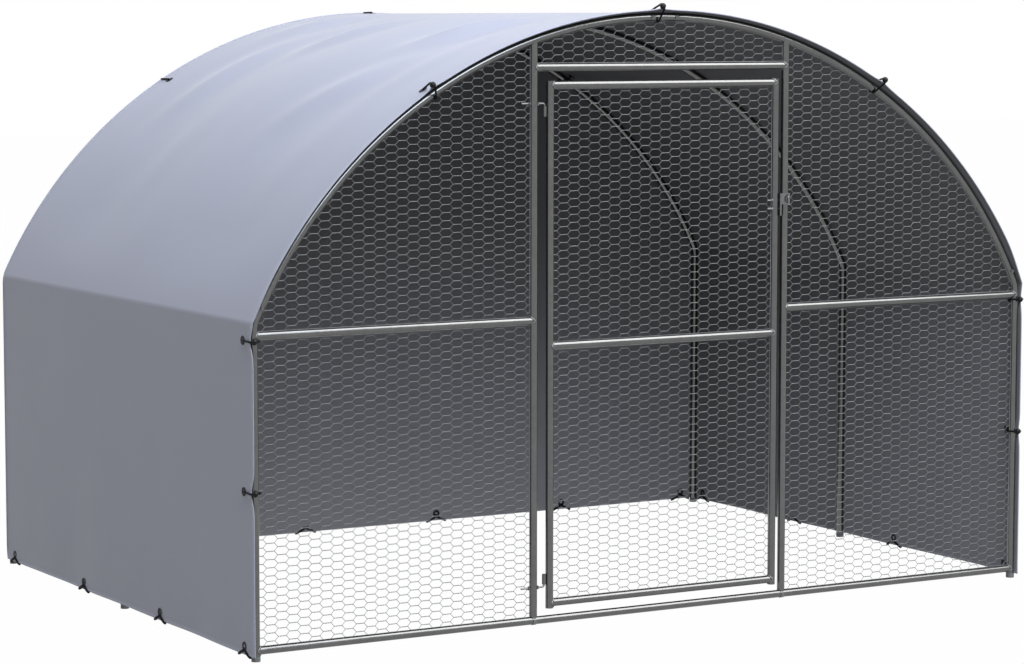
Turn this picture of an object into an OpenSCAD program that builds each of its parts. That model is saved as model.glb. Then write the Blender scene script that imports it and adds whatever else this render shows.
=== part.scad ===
// Walk-in chicken run: three arched tube hoops under a grey tarpaulin, with a wire-net front and door.
// X runs to the right, Y to the rear and Z up. The origin is on the ground under the middle of the run.

/* [Run] */
// Width between the leg axes of a hoop
run_width = 2900; // [2400:10:3400]
// Depth from the front hoop's tube axis to the rear hoop's
run_depth = 2000; // [1600:10:3000]
// Height of the tube axis at the crest of a hoop
crest_height = 1940; // [1700:1:2200]
// Height of the straight legs, up to the bend
leg_height = 1004; // [850:1:1150]
// Radius of the bend between a leg and the arch, at the tube axis
bend_radius = 90; // [60:1:140]

/* [Tube] */
// Outside diameter of the frame tubes
tube_d = 25; // [20:0.5:32]
// Wall of the frame tubes
tube_wall = 1.2; // [0.8:0.1:2]
// Length of an inside joiner on each side of its joint
joiner_length = 70; // [55:1:120]
// Length of a ridge stud, from the hoop's axis
stud_length = 60; // [40:1:90]
// Height of a foot cap
cap_height = 16; // [10:1:18]
// Floor of a foot cap, under the leg
cap_floor = 3; // [2:0.5:6]

/* [Front] */
// Height of the floor bar's axis
floor_bar_z = 32; // [28:1:60]
// Drop from the start of the bend to the eave bars' axis
eave_drop = 16; // [14:1:200]
// Distance between the axes of the two door posts
doorway_width = 956; // [800:1:1100]
// Drop from the crest to the header bar's axis
header_drop = 157; // [140:1:300]
// Width of the collars under the door posts
collar_width = 12; // [8:1:24]

/* [Door] */
// Height of the door stiles' lower ends
door_foot = 67; // [60:1:100]
// Room between the header bar and the door stiles' upper ends
door_head_room = 30.5; // [15:0.5:60]
// Room between the latch stile and its post
latch_room = 14.2; // [12:0.1:18]
// Distance from the hinge post's axis to the hinge axis
hinge_reach = 40.2; // [38:0.1:60]
// How far the stiles run below the bottom bar's axis
stile_tail = 17; // [13:1:40]
// Distance from a stile's end to its pintle
pintle_inset = 70; // [55:1:200]
// Diameter of the pintles
pintle_d = 6; // [5:0.5:9]
// Length of the hinge sleeves
sleeve_length = 32; // [20:1:50]
// Outside diameter of the hinge sleeves
sleeve_d = 13.6; // [12:0.1:18]

/* [Hasp] */
// Height of the hasp's upper edge
hasp_top = 1365; // [1100:1:1500]
// Height of the hinged flap
flap_height = 37; // [34:1:50]
// Height of the fixed leaf with its knuckle
leaf_height = 73; // [70:1:110]
// Thickness of the leaf and the flap
hasp_plate = 2; // [1.5:0.1:2.5]
// Diameter of the hasp's hinge pin
hasp_pin_d = 3.5; // [3:0.1:4]
// Diameter of the staple's rod
staple_rod_d = 5; // [4:0.5:5]

/* [Net] */
// Sideways step between two columns of net gaps
gap_step = 152; // [120:1:220]
// Upright pitch of the net gaps in a column
gap_pitch = 100; // [80:1:160]
// Width of the wire between two gaps
wire_width = 4; // [2:0.5:6]
// Thickness of the net
net_thick = 2; // [1.5:0.1:3]

/* [Cover] */
// Thickness of the tarpaulin with its coating
cover_thick = 1.5; // [1:0.1:3]
// Height of the lower hem above the ground
hem_z = 20; // [18:1:40]
// How far the front edge stands ahead of the front hoop's axis
lip_reach = 30; // [24:1:50]
// How far the front edge flares away from the tube
lip_rise = 12; // [10:1:25]
// Room behind the rear hoop's tube, up to the back wall
back_room = 7.5; // [7:0.5:12]

/* [Ties] */
// Diameter of the elastic cord
cord_d = 5; // [4:0.5:5]
// Diameter of the tie balls
ball_d = 20; // [16:1:20]
// Distance of the edge eyelets from their hoop's axis
eyelet_back = 45; // [40:1:120]
// Height of the hem eyelets above the hem
eyelet_rise = 20; // [18:1:30]
// Outside diameter of the eyelets
eyelet_d = 28; // [24:1:32]
// Hole of the eyelets
eyelet_hole_d = 12; // [10:0.5:14]
// Angle from the crest to the arch ties
arch_tie_angle = 31.5; // [24:0.5:45]
// Distance of the outer hem ties from the hoop's axis
hem_inset = 50; // [45:1:120]

/* [Hidden] */
// Seat gap between pieces that touch, overrun of cuts and running clearance of a pin
seat_gap = 0.3;
overrun = 2;
run_clear = 0.05;
$fn = 64;

steel = [0.58, 0.59, 0.60];
bright_steel = [0.74, 0.75, 0.77];
wire_grey = [0.62, 0.62, 0.64];
cover_grey = [0.50, 0.50, 0.54];
cord_black = [0.05, 0.05, 0.06];
cap_grey = [0.32, 0.33, 0.34];

// Hoop: leg, bend and arch meet without a corner, all at the tube axis
tube_r = tube_d / 2;
leg_x = run_width / 2;
bend_x = leg_x - bend_radius;
bend_z = leg_height;
arch_rise = crest_height - leg_height;
arch_radius = (pow(bend_x, 2) + pow(arch_rise, 2) - pow(bend_radius, 2)) / (2 * (arch_rise - bend_radius));
arch_z = crest_height - arch_radius;
arch_half = atan2(bend_x, bend_z - arch_z);
joiner_fit = 0.2;
joiner_r = tube_r - tube_wall - joiner_fit;
nose_length = 12;
nose_step = 1;
joint_screw_run = 30;
crest_screw_run = 45;
screw_r = 3;
screw_head_r = 6;
screw_head_h = 3.5;
screw_length = 8;
cap_wall = 1.2;
bend_thin = 0.02;
bend_lap = 1;
arch_steps = 96;
arch_sides = 360;
bend_steps = 8;

// Depth places: the reach of the ties sets the middle of the run.
// Tie corners are a distance along Y and a distance out from the tube axis
cord_r = cord_d / 2;
ball_r = ball_d / 2;
tie_turn = cord_r + seat_gap;
tie_run = tube_r + tie_turn;
eyelet_flange = 1;
eyelet_wall = 1.5;
eyelet_proud = seat_gap + eyelet_flange;
cover_in = tube_r + seat_gap;
cover_out = cover_in + cover_thick;
cover_mid = (cover_in + cover_out) / 2;
back_in = tube_r + back_room;
back_out = back_in + cover_thick;
back_mid = (back_in + back_out) / 2;
wall_lip_share = 0.4;
ball_lean = 130;
tie_under_share = 0.7;
flange_out = cover_thick / 2 + eyelet_proud;
tie_eye = eyelet_back - eyelet_hole_d / 2;
tie_eye_corners = [[tie_eye, cover_mid - flange_out], [tie_eye, cover_mid + flange_out]];
tie_under_corners = [[-tube_r * tie_under_share, -tube_r], [tube_r * tie_under_share, -tube_r]];
lip_corner = [-lip_reach, cover_out + lip_rise];
ball_out = [cos(ball_lean), sin(ball_lean)];
ball_place = lip_corner + (ball_r + seat_gap) * ball_out;
ball_seat = ball_place - tie_turn * ball_out;
ball_run = ball_r * [-ball_out[1], ball_out[0]];
wall_corner = [-lip_reach * wall_lip_share, cover_out + lip_rise * wall_lip_share];
wall_ball_share = 0.6;
wall_ball_out = tube_r * wall_ball_share;
wall_ball = [-sqrt(pow(tube_r + ball_r + seat_gap, 2) - pow(wall_ball_out, 2)), wall_ball_out];
front_reach = tie_turn + cord_r - ball_seat[0] - ball_run[0];
rear_reach = back_out + eyelet_proud + seat_gap + ball_d;
front_y = -run_depth / 2 + (front_reach - rear_reach) / 2;
hoop_y = [front_y, front_y + run_depth / 2, front_y + run_depth];

// Front bars and posts
eave_z = bend_z - eave_drop;
header_z = crest_height - header_drop;
post_x = doorway_width / 2;
post_top = arch_z + sqrt(pow(arch_radius, 2) - pow(post_x + tube_r, 2));
collar_thick = 1.5;

// Door
hinge_x = hinge_reach - post_x;
hinge_stile_x = hinge_x + sleeve_d / 2 + seat_gap + tube_r;
latch_stile_x = post_x - tube_d - latch_room;
stile_top = header_z - tube_r - door_head_room;
door_top_z = stile_top - tube_r;
door_bottom_z = door_foot + stile_tail;
door_middle_z = (door_top_z + door_bottom_z) / 2;
upper_pintle_z = stile_top - pintle_inset;
lower_pintle_z = door_foot + pintle_inset;
pintle_r = pintle_d / 2;
pintle_turn = 8;
pintle_tail = 32;
pintle_nut_r = 6.5;
pintle_nut_h = 5;
hole_room = 0.2;

// Hasp: fixed leaf on the latch stile, hinged flap and a staple on the post
knuckle_r = 3.5;
knuckle_set = 1.2;
leaf_x = latch_stile_x + tube_r + seat_gap;
hasp_x = leaf_x + hasp_plate + knuckle_set;
hasp_y = -tube_r - seat_gap - hasp_plate / 2;
leaf_back = 9;
hasp_bottom = hasp_top - leaf_height;
flap_bottom = hasp_top - flap_height;
flap_z = (hasp_top + flap_bottom) / 2;
flap_edge = 12;
slot_height = 29;
slot_room = 1;
staple_half = 9;
staple_rod_r = staple_rod_d / 2;
staple_turn = 5;
staple_reach = 12;
slot_near = post_x - hasp_x - staple_rod_r - slot_room;
slot_far = sqrt(pow(post_x - hasp_x + staple_rod_r + slot_room, 2) + pow(staple_reach + hasp_plate, 2));
hasp_bolt_r = 2.5;
hasp_bolt_half = 14;
hasp_bolt_y = -6;
hasp_bolt_tail = 12;
hasp_nut_r = 4.7;
hasp_nut_h = 7;
hasp_head_h = 3;

// Net gaps: six-sided, flat edges level, drawn in by the wire
flat_share = 0.58;
border_width = 5;
gap_share = 1 - wire_width / gap_pitch;
net_edge = tube_r + seat_gap;

// Tie places on a hoop, as a kind, a side and a height or an angle
wall_low_share = 0.52;
upper_tie_z = eave_z - tube_r - tie_turn - seat_gap;
crest_tie_angle = (tube_r + 2 * cord_d) / arch_radius * 180 / PI;
wall_places = [for (s = [-1, 1], z = [eave_z * wall_low_share, upper_tie_z]) ["wall", s, z]];
arch_places = [for (a = [-arch_tie_angle, -crest_tie_angle, arch_tie_angle]) ["arch", 1, a]];
tie_places = concat(wall_places, arch_places);
hem_eyelet_z = hem_z + eyelet_rise;
hem_ring_share = 0.7;
hem_ring_r = eyelet_rise * hem_ring_share;
hem_ring_drop = hem_ring_r + eyelet_hole_d / 2 - cord_r - 2 * seat_gap;
ring_turns = 3;
hem_side_gaps = 3;
hem_back_gaps = 5;
hem_ys = [for (i = [0:hem_side_gaps])
    hoop_y[0] + hem_inset + i * (run_depth - 2 * hem_inset) / hem_side_gaps];
hem_xs = [for (i = [0:hem_back_gaps])
    -leg_x + hem_inset + i * (run_width - 2 * hem_inset) / hem_back_gaps];

// Carry a section along an arc in the XZ plane; angles run from straight up towards +X
module arc_sweep(radius, from, to) {
    rotate([-90, 0, 0])
        rotate([0, 0, from - 90])
            rotate_extrude(angle = to - from)
                translate([radius, 0])
                    children();
}

module along_arch(from, to) {
    translate([0, 0, arch_z])
        arc_sweep(arch_radius, from, to, $fn = arch_sides)
            children();
}

module along_bend(from, to) {
    translate([bend_x, 0, bend_z])
        arc_sweep(bend_radius, from, to)
            children();
}

module along_leg(from, to) {
    translate([leg_x, 0, from])
        linear_extrude(to - from)
            children();
}

// Right half for side 1, its mirror image for side -1
module on_side(side) {
    mirror([side < 0 ? 1 : 0, 0, 0])
        children();
}

module at_arch(angle) {
    translate([0, 0, arch_z])
        rotate([0, angle, 0])
            translate([0, 0, arch_radius])
                children();
}

// Local frame at a tie place: x outwards, y to the rear, z along the hoop
module at_place(place) {
    if (place[0] == "wall")
        on_side(place[1])
            translate([leg_x, 0, place[2]])
                children();
    else
        at_arch(place[2])
            rotate([0, -90, 0])
                children();
}

// Angle that a run along the arch covers
function arch_turn(run) = run / arch_radius * 180 / PI;

// Point of the hoop's plane at a tie place, out from the tube axis by a distance
function place_xz(place, out) = place[0] == "wall"
    ? [place[1] * (leg_x + out), place[2]]
    : [sin(place[2]) * (arch_radius + out), arch_z + cos(place[2]) * (arch_radius + out)];

// Wall of a tube, drawn thinner on both faces where it is bent
module ring_section(outer, wall, thin = 0) {
    difference() {
        circle(outer - thin);
        circle(outer - wall + thin);
    }
}

module tube_section(thin = 0) {
    ring_section(tube_r, tube_wall, thin);
}

// Outline of a hoop above a base, moved outwards from the tube axis
function hoop_outline(out, base) = concat(
    [[leg_x + out, base]],
    [for (i = [0:bend_steps - 1])
        let (a = 90 + (arch_half - 90) * i / bend_steps)
        [bend_x + sin(a) * (bend_radius + out), bend_z + cos(a) * (bend_radius + out)]],
    [for (i = [0:arch_steps])
        let (a = arch_half - 2 * arch_half * i / arch_steps)
        [sin(a) * (arch_radius + out), arch_z + cos(a) * (arch_radius + out)]],
    [for (i = [1:bend_steps])
        let (a = -arch_half + (arch_half - 90) * i / bend_steps)
        [-bend_x + sin(a) * (bend_radius + out), bend_z + cos(a) * (bend_radius + out)]],
    [[-leg_x - out, base]]
);

// Stand a drawing of the XZ plane upright, its thickness centred
module upright(thick) {
    rotate([90, 0, 0])
        linear_extrude(thick, center = true)
            children();
}

module joint_hole(angle) {
    at_arch(angle)
        rotate([90, 0, 0])
            cylinder(r = screw_r + hole_room, h = tube_d);
}

module leg(hoop, side) {
    color(steel)
        translate([0, hoop_y[hoop], 0])
            on_side(side) {
                along_leg(cap_floor, bend_z + bend_lap)
                    tube_section();
                along_bend(arch_half, 90)
                    tube_section(bend_thin);
            }
}

module arch(hoop, side) {
    color(steel)
        translate([0, hoop_y[hoop], 0])
            on_side(side)
                difference() {
                    along_arch(0, arch_half)
                        tube_section();
                    joint_hole(arch_turn(crest_screw_run));
                    joint_hole(arch_half - arch_turn(joint_screw_run));
                }
}

module crest_joiners() {
    half = arch_turn(joiner_length);
    color(steel)
        for (y = hoop_y)
            translate([0, y, 0])
                difference() {
                    along_arch(-half, half)
                        ring_section(joiner_r, tube_wall);
                    for (s = [-1, 1])
                        joint_hole(s * arch_turn(crest_screw_run));
                }
}

// Curved sleeve in the arch's end, with a stepped straight nose in the leg's bend
module eave_joiners() {
    nose_root = nose_length / 2;
    color(steel)
        for (y = hoop_y, s = [-1, 1])
            translate([0, y, 0])
                on_side(s)
                    difference() {
                        union() {
                            along_arch(arch_half - arch_turn(joiner_length), arch_half)
                                ring_section(joiner_r, tube_wall);
                            at_arch(arch_half)
                                rotate([0, 90, 0])
                                    translate([0, 0, -nose_root])
                                        linear_extrude(nose_root + nose_length)
                                            ring_section(joiner_r - nose_step, tube_wall);
                        }
                        joint_hole(arch_half - arch_turn(joint_screw_run));
                    }
}

// Pan-head screw pointing to the rear, its head on the front of the tube
module hoop_screw() {
    translate([0, -tube_r - seat_gap, 0])
        rotate([-90, 0, 0]) {
            cylinder(r = screw_r, h = screw_length);
            translate([0, 0, -screw_head_h])
                cylinder(r = screw_head_r, h = screw_head_h);
        }
}

module hoop_screws() {
    color(bright_steel)
        for (y = hoop_y, s = [-1, 1], run = [arch_turn(crest_screw_run), arch_half - arch_turn(joint_screw_run)])
            translate([0, y, 0])
                on_side(s)
                    at_arch(run)
                        hoop_screw();
}

// Space that a hoop's crest takes, with its seat gap
module crest_space(hoop) {
    half = arch_turn(2 * tube_d);
    translate([0, hoop_y[hoop], 0])
        along_arch(-half, half)
            circle(tube_r + seat_gap);
}

module ridge_tube(hoop) {
    color(steel)
        difference() {
            translate([0, hoop_y[hoop], crest_height])
                rotate([-90, 0, 0])
                    linear_extrude(run_depth / 2)
                        tube_section();
            crest_space(hoop);
            crest_space(hoop + 1);
        }
}

module ridge_studs() {
    color(steel)
        for (stud = [[0, 1], [1, -1], [1, 1], [2, -1]])
            difference() {
                translate([0, hoop_y[stud[0]], crest_height])
                    rotate([-90 * stud[1], 0, 0])
                        cylinder(r = joiner_r, h = stud_length);
                crest_space(stud[0]);
            }
}

module foot_caps() {
    cap_r = tube_r + seat_gap;
    color(cap_grey)
        for (y = hoop_y, s = [-1, 1])
            translate([s * leg_x, y, 0])
                difference() {
                    cylinder(r = cap_r + cap_wall, h = cap_height);
                    translate([0, 0, cap_floor])
                        cylinder(r = cap_r, h = cap_height);
                }
}

// Level tube between two upright tubes, its ends coped to them
module cross_bar(from, to, height) {
    color(steel)
        translate([0, front_y, height])
            difference() {
                translate([from, 0, 0])
                    rotate([90, 0, 90])
                        linear_extrude(to - from)
                            tube_section();
                for (x = [from, to])
                    translate([x, 0, 0])
                        cylinder(r = tube_r + seat_gap, h = 2 * tube_d, center = true);
            }
}

// Upright between the floor bar's collar and the arch, coped to both
module door_post(side) {
    arch_angle = asin(post_x / arch_radius);
    span = arch_turn(2 * tube_d);
    translate([0, front_y, 0])
        difference() {
            translate([side * post_x, 0, floor_bar_z])
                linear_extrude(post_top - floor_bar_z)
                    tube_section();
            translate([side * post_x, 0, floor_bar_z])
                rotate([0, 90, 0])
                    cylinder(r = tube_r + 2 * seat_gap + collar_thick, h = 2 * tube_d, center = true);
            along_arch(side * arch_angle - span, side * arch_angle + span)
                circle(tube_r + seat_gap);
        }
}

module left_door_post() {
    color(steel)
        difference() {
            door_post(-1);
            for (z = [upper_pintle_z, lower_pintle_z])
                translate([-post_x, front_y, z])
                    rotate([0, 90, 0])
                        cylinder(r = pintle_r + hole_room, h = 2 * tube_d, center = true);
        }
}

module right_door_post() {
    color(steel)
        difference() {
            door_post(1);
            for (s = [-1, 1])
                translate([post_x, front_y, flap_z + s * staple_half])
                    rotate([90, 0, 0])
                        cylinder(r = staple_rod_r + hole_room, h = tube_d);
        }
}

// Ring round the floor bar, under the foot of each door post
module post_collars() {
    color(bright_steel)
        for (s = [-1, 1])
            translate([s * post_x, front_y, floor_bar_z])
                rotate([90, 0, 90])
                    linear_extrude(collar_width, center = true)
                        ring_section(tube_r + seat_gap + collar_thick, collar_thick);
}

// L-shaped bolt: threaded shank through the post, then a turn into an upright pin
module pintle(height, up) {
    start = -post_x - tube_r - pintle_tail;
    color(bright_steel)
        translate([0, front_y, height])
            mirror([0, 0, up < 0 ? 1 : 0]) {
                translate([start, 0, 0])
                    rotate([0, 90, 0])
                        cylinder(r = pintle_r, h = hinge_x - pintle_turn - start);
                translate([hinge_x - pintle_turn, 0, pintle_turn])
                    arc_sweep(pintle_turn, 90, 180)
                        circle(pintle_r);
                translate([hinge_x, 0, pintle_turn])
                    cylinder(r = pintle_r, h = sleeve_length + overrun);
            }
}

module pintle_nuts() {
    color(bright_steel)
        for (z = [upper_pintle_z, lower_pintle_z], s = [-1, 1])
            translate([-post_x + s * (tube_r + seat_gap + pintle_nut_h / 2), front_y, z])
                rotate([0, 90, 0])
                    difference() {
                        cylinder(r = pintle_nut_r, h = pintle_nut_h, center = true, $fn = 6);
                        cylinder(r = pintle_r + run_clear, h = pintle_nut_h + overrun, center = true);
                    }
}

module door_stile(x) {
    translate([x, front_y, door_foot])
        linear_extrude(stile_top - door_foot)
            tube_section();
}

module door_hinge_stile() {
    color(steel)
        door_stile(hinge_stile_x);
}

module door_latch_stile() {
    color(steel)
        difference() {
            door_stile(latch_stile_x);
            hasp_bolt_places()
                cylinder(r = hasp_bolt_r + hole_room, h = 2 * tube_d, center = true);
        }
}

// Sleeves on the hinge stile: the lower one above its pintle, the upper one below
module hinge_sleeves() {
    lift = pintle_turn + seat_gap;
    color(bright_steel)
        for (z = [lower_pintle_z + lift, upper_pintle_z - lift - sleeve_length])
            translate([hinge_x, front_y, z])
                difference() {
                    cylinder(d = sleeve_d, h = sleeve_length);
                    translate([0, 0, -overrun])
                        cylinder(r = pintle_r + run_clear, h = sleeve_length + 2 * overrun);
                }
}

// The two bolt axes of the hasp, along X with z pointing to the post
module hasp_bolt_places() {
    for (s = [-1, 1])
        translate([latch_stile_x, front_y + hasp_bolt_y, hasp_bottom + leaf_height / 2 + s * hasp_bolt_half])
            rotate([0, 90, 0])
                children();
}

// Leaf beside the stile, with the lower knuckle along its front edge
module hasp_leaf() {
    color(bright_steel)
        difference() {
            union() {
                translate([leaf_x, front_y + hasp_y, hasp_bottom])
                    cube([hasp_plate, leaf_back - hasp_y, leaf_height - flap_height]);
                translate([leaf_x, front_y + hasp_y + knuckle_r + seat_gap, hasp_bottom])
                    cube([hasp_plate, leaf_back - hasp_y - knuckle_r - seat_gap, leaf_height]);
                translate([hasp_x, front_y + hasp_y, hasp_bottom])
                    cylinder(r = knuckle_r, h = leaf_height - flap_height);
            }
            translate([hasp_x, front_y + hasp_y, hasp_bottom - overrun])
                cylinder(d = hasp_pin_d + 2 * run_clear, h = leaf_height + 2 * overrun);
            hasp_bolt_places()
                cylinder(r = hasp_bolt_r + hole_room, h = 2 * tube_d);
        }
}

module hasp_pin() {
    color(bright_steel)
        translate([hasp_x, front_y + hasp_y, hasp_bottom])
            cylinder(d = hasp_pin_d, h = leaf_height);
}

// Flap across the front of the post, slotted for the staple
module hasp_flap() {
    height = flap_height - seat_gap;
    reach = slot_far + flap_edge / 2;
    color(bright_steel)
        translate([hasp_x, front_y + hasp_y, flap_bottom + seat_gap])
            difference() {
                union() {
                    translate([0, -hasp_plate / 2, 0])
                        cube([reach, hasp_plate, height]);
                    cylinder(r = knuckle_r, h = height);
                }
                translate([0, 0, -overrun])
                    cylinder(d = hasp_pin_d + 2 * run_clear, h = height + 2 * overrun);
                translate([slot_near, -hasp_plate, flap_z - flap_bottom - seat_gap - slot_height / 2])
                    cube([slot_far - slot_near, 2 * hasp_plate, slot_height]);
            }
}

module hasp_bolts() {
    head = leaf_x - latch_stile_x + hasp_plate + seat_gap;
    tail = tube_r + seat_gap + hasp_nut_h + hasp_bolt_tail;
    color(bright_steel)
        hasp_bolt_places() {
            translate([0, 0, -tail])
                cylinder(r = hasp_bolt_r, h = tail + head + hasp_head_h);
            translate([0, 0, head])
                cylinder(r = hasp_nut_r, h = hasp_head_h, $fn = 6);
        }
}

// Domed nuts on the door side of the latch stile
module hasp_nuts() {
    color(bright_steel)
        hasp_bolt_places()
            translate([0, 0, -tube_r - seat_gap])
                rotate([180, 0, 0])
                    difference() {
                        intersection() {
                            cylinder(r = hasp_nut_r, h = hasp_nut_h);
                            sphere(sqrt(pow(hasp_nut_r, 2) + pow(hasp_nut_h / 2, 2)));
                        }
                        translate([0, 0, -overrun])
                            cylinder(r = hasp_bolt_r + run_clear, h = hasp_nut_h + 2 * overrun);
                    }
}

// U-shaped rod: two legs into the post's front wall and an upright bow
module hasp_staple() {
    bow = hasp_y - staple_reach + staple_rod_r;
    root = -tube_r + tube_wall + seat_gap;
    color(bright_steel)
        translate([post_x, front_y, flap_z]) {
            for (s = [-1, 1])
                mirror([0, 0, s < 0 ? 1 : 0]) {
                    translate([0, root, staple_half])
                        rotate([90, 0, 0])
                            cylinder(r = staple_rod_r, h = root - bow - staple_turn);
                    translate([0, bow + staple_turn, staple_half - staple_turn])
                        rotate([0, 0, -90])
                            arc_sweep(staple_turn, 0, 90)
                                circle(staple_rod_r);
                }
            translate([0, bow, 0])
                cylinder(r = staple_rod_r, h = 2 * (staple_half - staple_turn), center = true);
        }
}

// Area of a net between the axes of its tubes, drawn in by an inset
module net_area(from, to, inset) {
    intersection() {
        polygon(hoop_outline(-inset, 0));
        translate(from + [inset, inset])
            square(to - from - 2 * [inset, inset]);
    }
}

// Steps that fill a net with whole columns and rows of gaps
function net_columns(span) = max(1, round(span / gap_step - (1 - flat_share)));
function net_rows(span) = max(1, round(span / gap_pitch));

// Middles of the gaps, on staggered columns, kept clear of the arch
function gap_places(from, to, step, pitch) =
    let (reach = arch_radius - net_edge - 3 * border_width)
    [for (c = [0:net_columns(to[0] - from[0]) - 1], r = [0:net_rows(to[1] - from[1])])
        let (
            x = from[0] + (c + 1 - flat_share / 2) * step,
            z = from[1] + (r + (c % 2) / 2) * pitch
        )
        if (z < to[1] + run_clear && norm([x, z - arch_z]) < reach)
            [x, z]];

// One gap: flat above and below, pointed left and right
module net_gap(step, pitch) {
    flat = step * flat_share / 2 * gap_share;
    point = step * gap_share - flat;
    rise = pitch / 2 * gap_share;
    polygon([[flat, rise], [-flat, rise], [-point, 0], [-flat, -rise], [flat, -rise], [point, 0]]);
}

// Notches for the ties and the pintles where they cross the net's edge
module net_notches() {
    for (place = tie_places)
        translate(place_xz(place, -tie_run))
            circle(cord_r + seat_gap);
    for (z = [upper_pintle_z, lower_pintle_z])
        translate([-post_x - tube_r - pintle_tail - overrun, z - pintle_nut_r - seat_gap])
            square([tube_r + pintle_tail + overrun, 2 * (pintle_nut_r + seat_gap)]);
}

// Net between two corners at the tube axes
module net(from, to) {
    low = from + [net_edge, net_edge];
    high = to - [net_edge, net_edge];
    step = (high[0] - low[0]) / (net_columns(high[0] - low[0]) + 1 - flat_share);
    pitch = (high[1] - low[1]) / net_rows(high[1] - low[1]);
    color(wire_grey)
        translate([0, front_y, 0])
            upright(net_thick)
                difference() {
                    net_area(from, to, net_edge);
                    intersection() {
                        for (place = gap_places(low, high, step, pitch))
                            translate(place)
                                net_gap(step, pitch);
                        net_area(from, to, net_edge + border_width);
                    }
                    net_notches();
                }
}

// Left and right ends of a side net
function side_span(side) = side < 0 ? [-leg_x, -post_x] : [post_x, leg_x];

module lower_net(side) {
    span = side_span(side);
    net([span[0], floor_bar_z], [span[1], eave_z]);
}

module upper_net(side) {
    span = side_span(side);
    net([span[0], eave_z], [span[1], post_top]);
}

module transom_net() {
    net([-post_x, header_z], [post_x, crest_height]);
}

module door_net(from, to) {
    net([hinge_stile_x, from], [latch_stile_x, to]);
}

// Section of the tarpaulin: out from the tube axis and along Y, flared at the front edge
module cover_section(thin = 0, lip_share = 1) {
    inner = cover_in + thin;
    outer = cover_out - thin;
    rear = hoop_y[2] + back_in - thin;
    front = front_y - lip_reach * lip_share + thin;
    rise = lip_rise * lip_share;
    polygon([
        [inner, rear],
        [outer, rear],
        [outer, front_y],
        [outer + rise, front],
        [inner + rise, front],
        [inner, front_y]
    ]);
}

eyelet_ys = [hoop_y[0] + eyelet_back, hoop_y[2] - eyelet_back];

// Eyelets beside the front hoop and, on the arch only, beside the rear one
module edge_eyelet_places(places) {
    for (place = places)
        for (y = place[0] == "arch" ? eyelet_ys : [eyelet_ys[0]])
            at_place(place)
                translate([cover_mid, y, 0])
                    rotate([0, 90, 0])
                        children();
}

module wall_hem_places(side) {
    on_side(side)
        for (y = hem_ys)
            translate([leg_x + cover_mid, y, hem_eyelet_z])
                rotate([0, 90, 0])
                    children();
}

module back_eyelet_places() {
    for (place = arch_places)
        let (at = place_xz(place, -tie_run))
            translate([at[0], hoop_y[2] + back_mid, at[1]])
                rotate([90, 0, 0])
                    children();
}

module back_hem_places() {
    for (x = hem_xs)
        translate([x, hoop_y[2] + back_mid, hem_eyelet_z])
            rotate([90, 0, 0])
                children();
}

module eyelet_cut() {
    cylinder(r = eyelet_hole_d / 2 + eyelet_wall + seat_gap, h = 2 * tube_d, center = true);
}

module cover_roof() {
    lap = arch_turn(bend_lap);
    color(cover_grey)
        difference() {
            union() {
                along_arch(-arch_half - lap, arch_half + lap)
                    cover_section();
                for (s = [-1, 1])
                    on_side(s)
                        along_bend(arch_half, 90)
                            cover_section(bend_thin);
            }
            edge_eyelet_places(arch_places)
                eyelet_cut();
        }
}

module cover_wall(side) {
    color(cover_grey)
        difference() {
            on_side(side)
                along_leg(hem_z, bend_z)
                    cover_section(lip_share = wall_lip_share);
            edge_eyelet_places([for (place = wall_places) if (place[1] == side) place])
                eyelet_cut();
            wall_hem_places(side)
                eyelet_cut();
        }
}

module cover_back_wall() {
    color(cover_grey)
        difference() {
            translate([0, hoop_y[2] + back_mid, 0])
                upright(cover_thick)
                    polygon(hoop_outline(cover_out, hem_z));
            back_eyelet_places()
                eyelet_cut();
            back_hem_places()
                eyelet_cut();
        }
}

// Turned ring with a flange on each face of the tarpaulin
module eyelet() {
    inner = eyelet_hole_d / 2;
    barrel = inner + eyelet_wall;
    outer = eyelet_d / 2;
    low = cover_thick / 2 + seat_gap;
    high = low + eyelet_flange;
    rotate_extrude()
        polygon([
            [inner, -high], [outer, -high], [outer, -low], [barrel, -low],
            [barrel, low], [outer, low], [outer, high], [inner, high]
        ]);
}

module eyelets() {
    color(cord_black) {
        edge_eyelet_places(tie_places)
            eyelet();
        back_eyelet_places()
            eyelet();
        back_hem_places()
            eyelet();
        for (s = [-1, 1])
            wall_hem_places(s)
                eyelet();
    }
}

// Corners that a tie turns round, turning left
arch_corners = concat(tie_eye_corners, [ball_seat - ball_run, ball_seat + ball_run], tie_under_corners);
wall_corners = concat(tie_eye_corners, [
    wall_corner,
    wall_ball + [tie_turn, ball_r],
    wall_ball + [tie_turn, -ball_r]
], tie_under_corners);
rear_face = -back_out - eyelet_proud;
rear_ball_y = rear_face - seat_gap - ball_r;
rear_corners = concat(tie_eye_corners, [
    [-back_out, cover_out],
    [rear_ball_y + tie_turn, ball_r],
    [rear_ball_y + tie_turn, -ball_r],
    [rear_face, -tube_r],
    [tube_r * tie_under_share, -tube_r]
]);

// Direction that an edge of a left-turning outline faces
function facing(a, b) = atan2(b[1] - a[1], b[0] - a[0]) - 90;

// Rings of a cord round the corners: middle and facing direction of each
function tie_rings(corners) =
    let (count = len(corners))
    [for (i = [0:count - 1])
        let (
            here = corners[i],
            before = facing(corners[(i + count - 1) % count], here),
            after = facing(here, corners[(i + 1) % count]),
            turn = (after - before + 720) % 360
        )
        for (k = [0:ring_turns - 1])
            let (a = before + turn * k / (ring_turns - 1))
            [here + tie_turn * [cos(a), sin(a)], a]];

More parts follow.
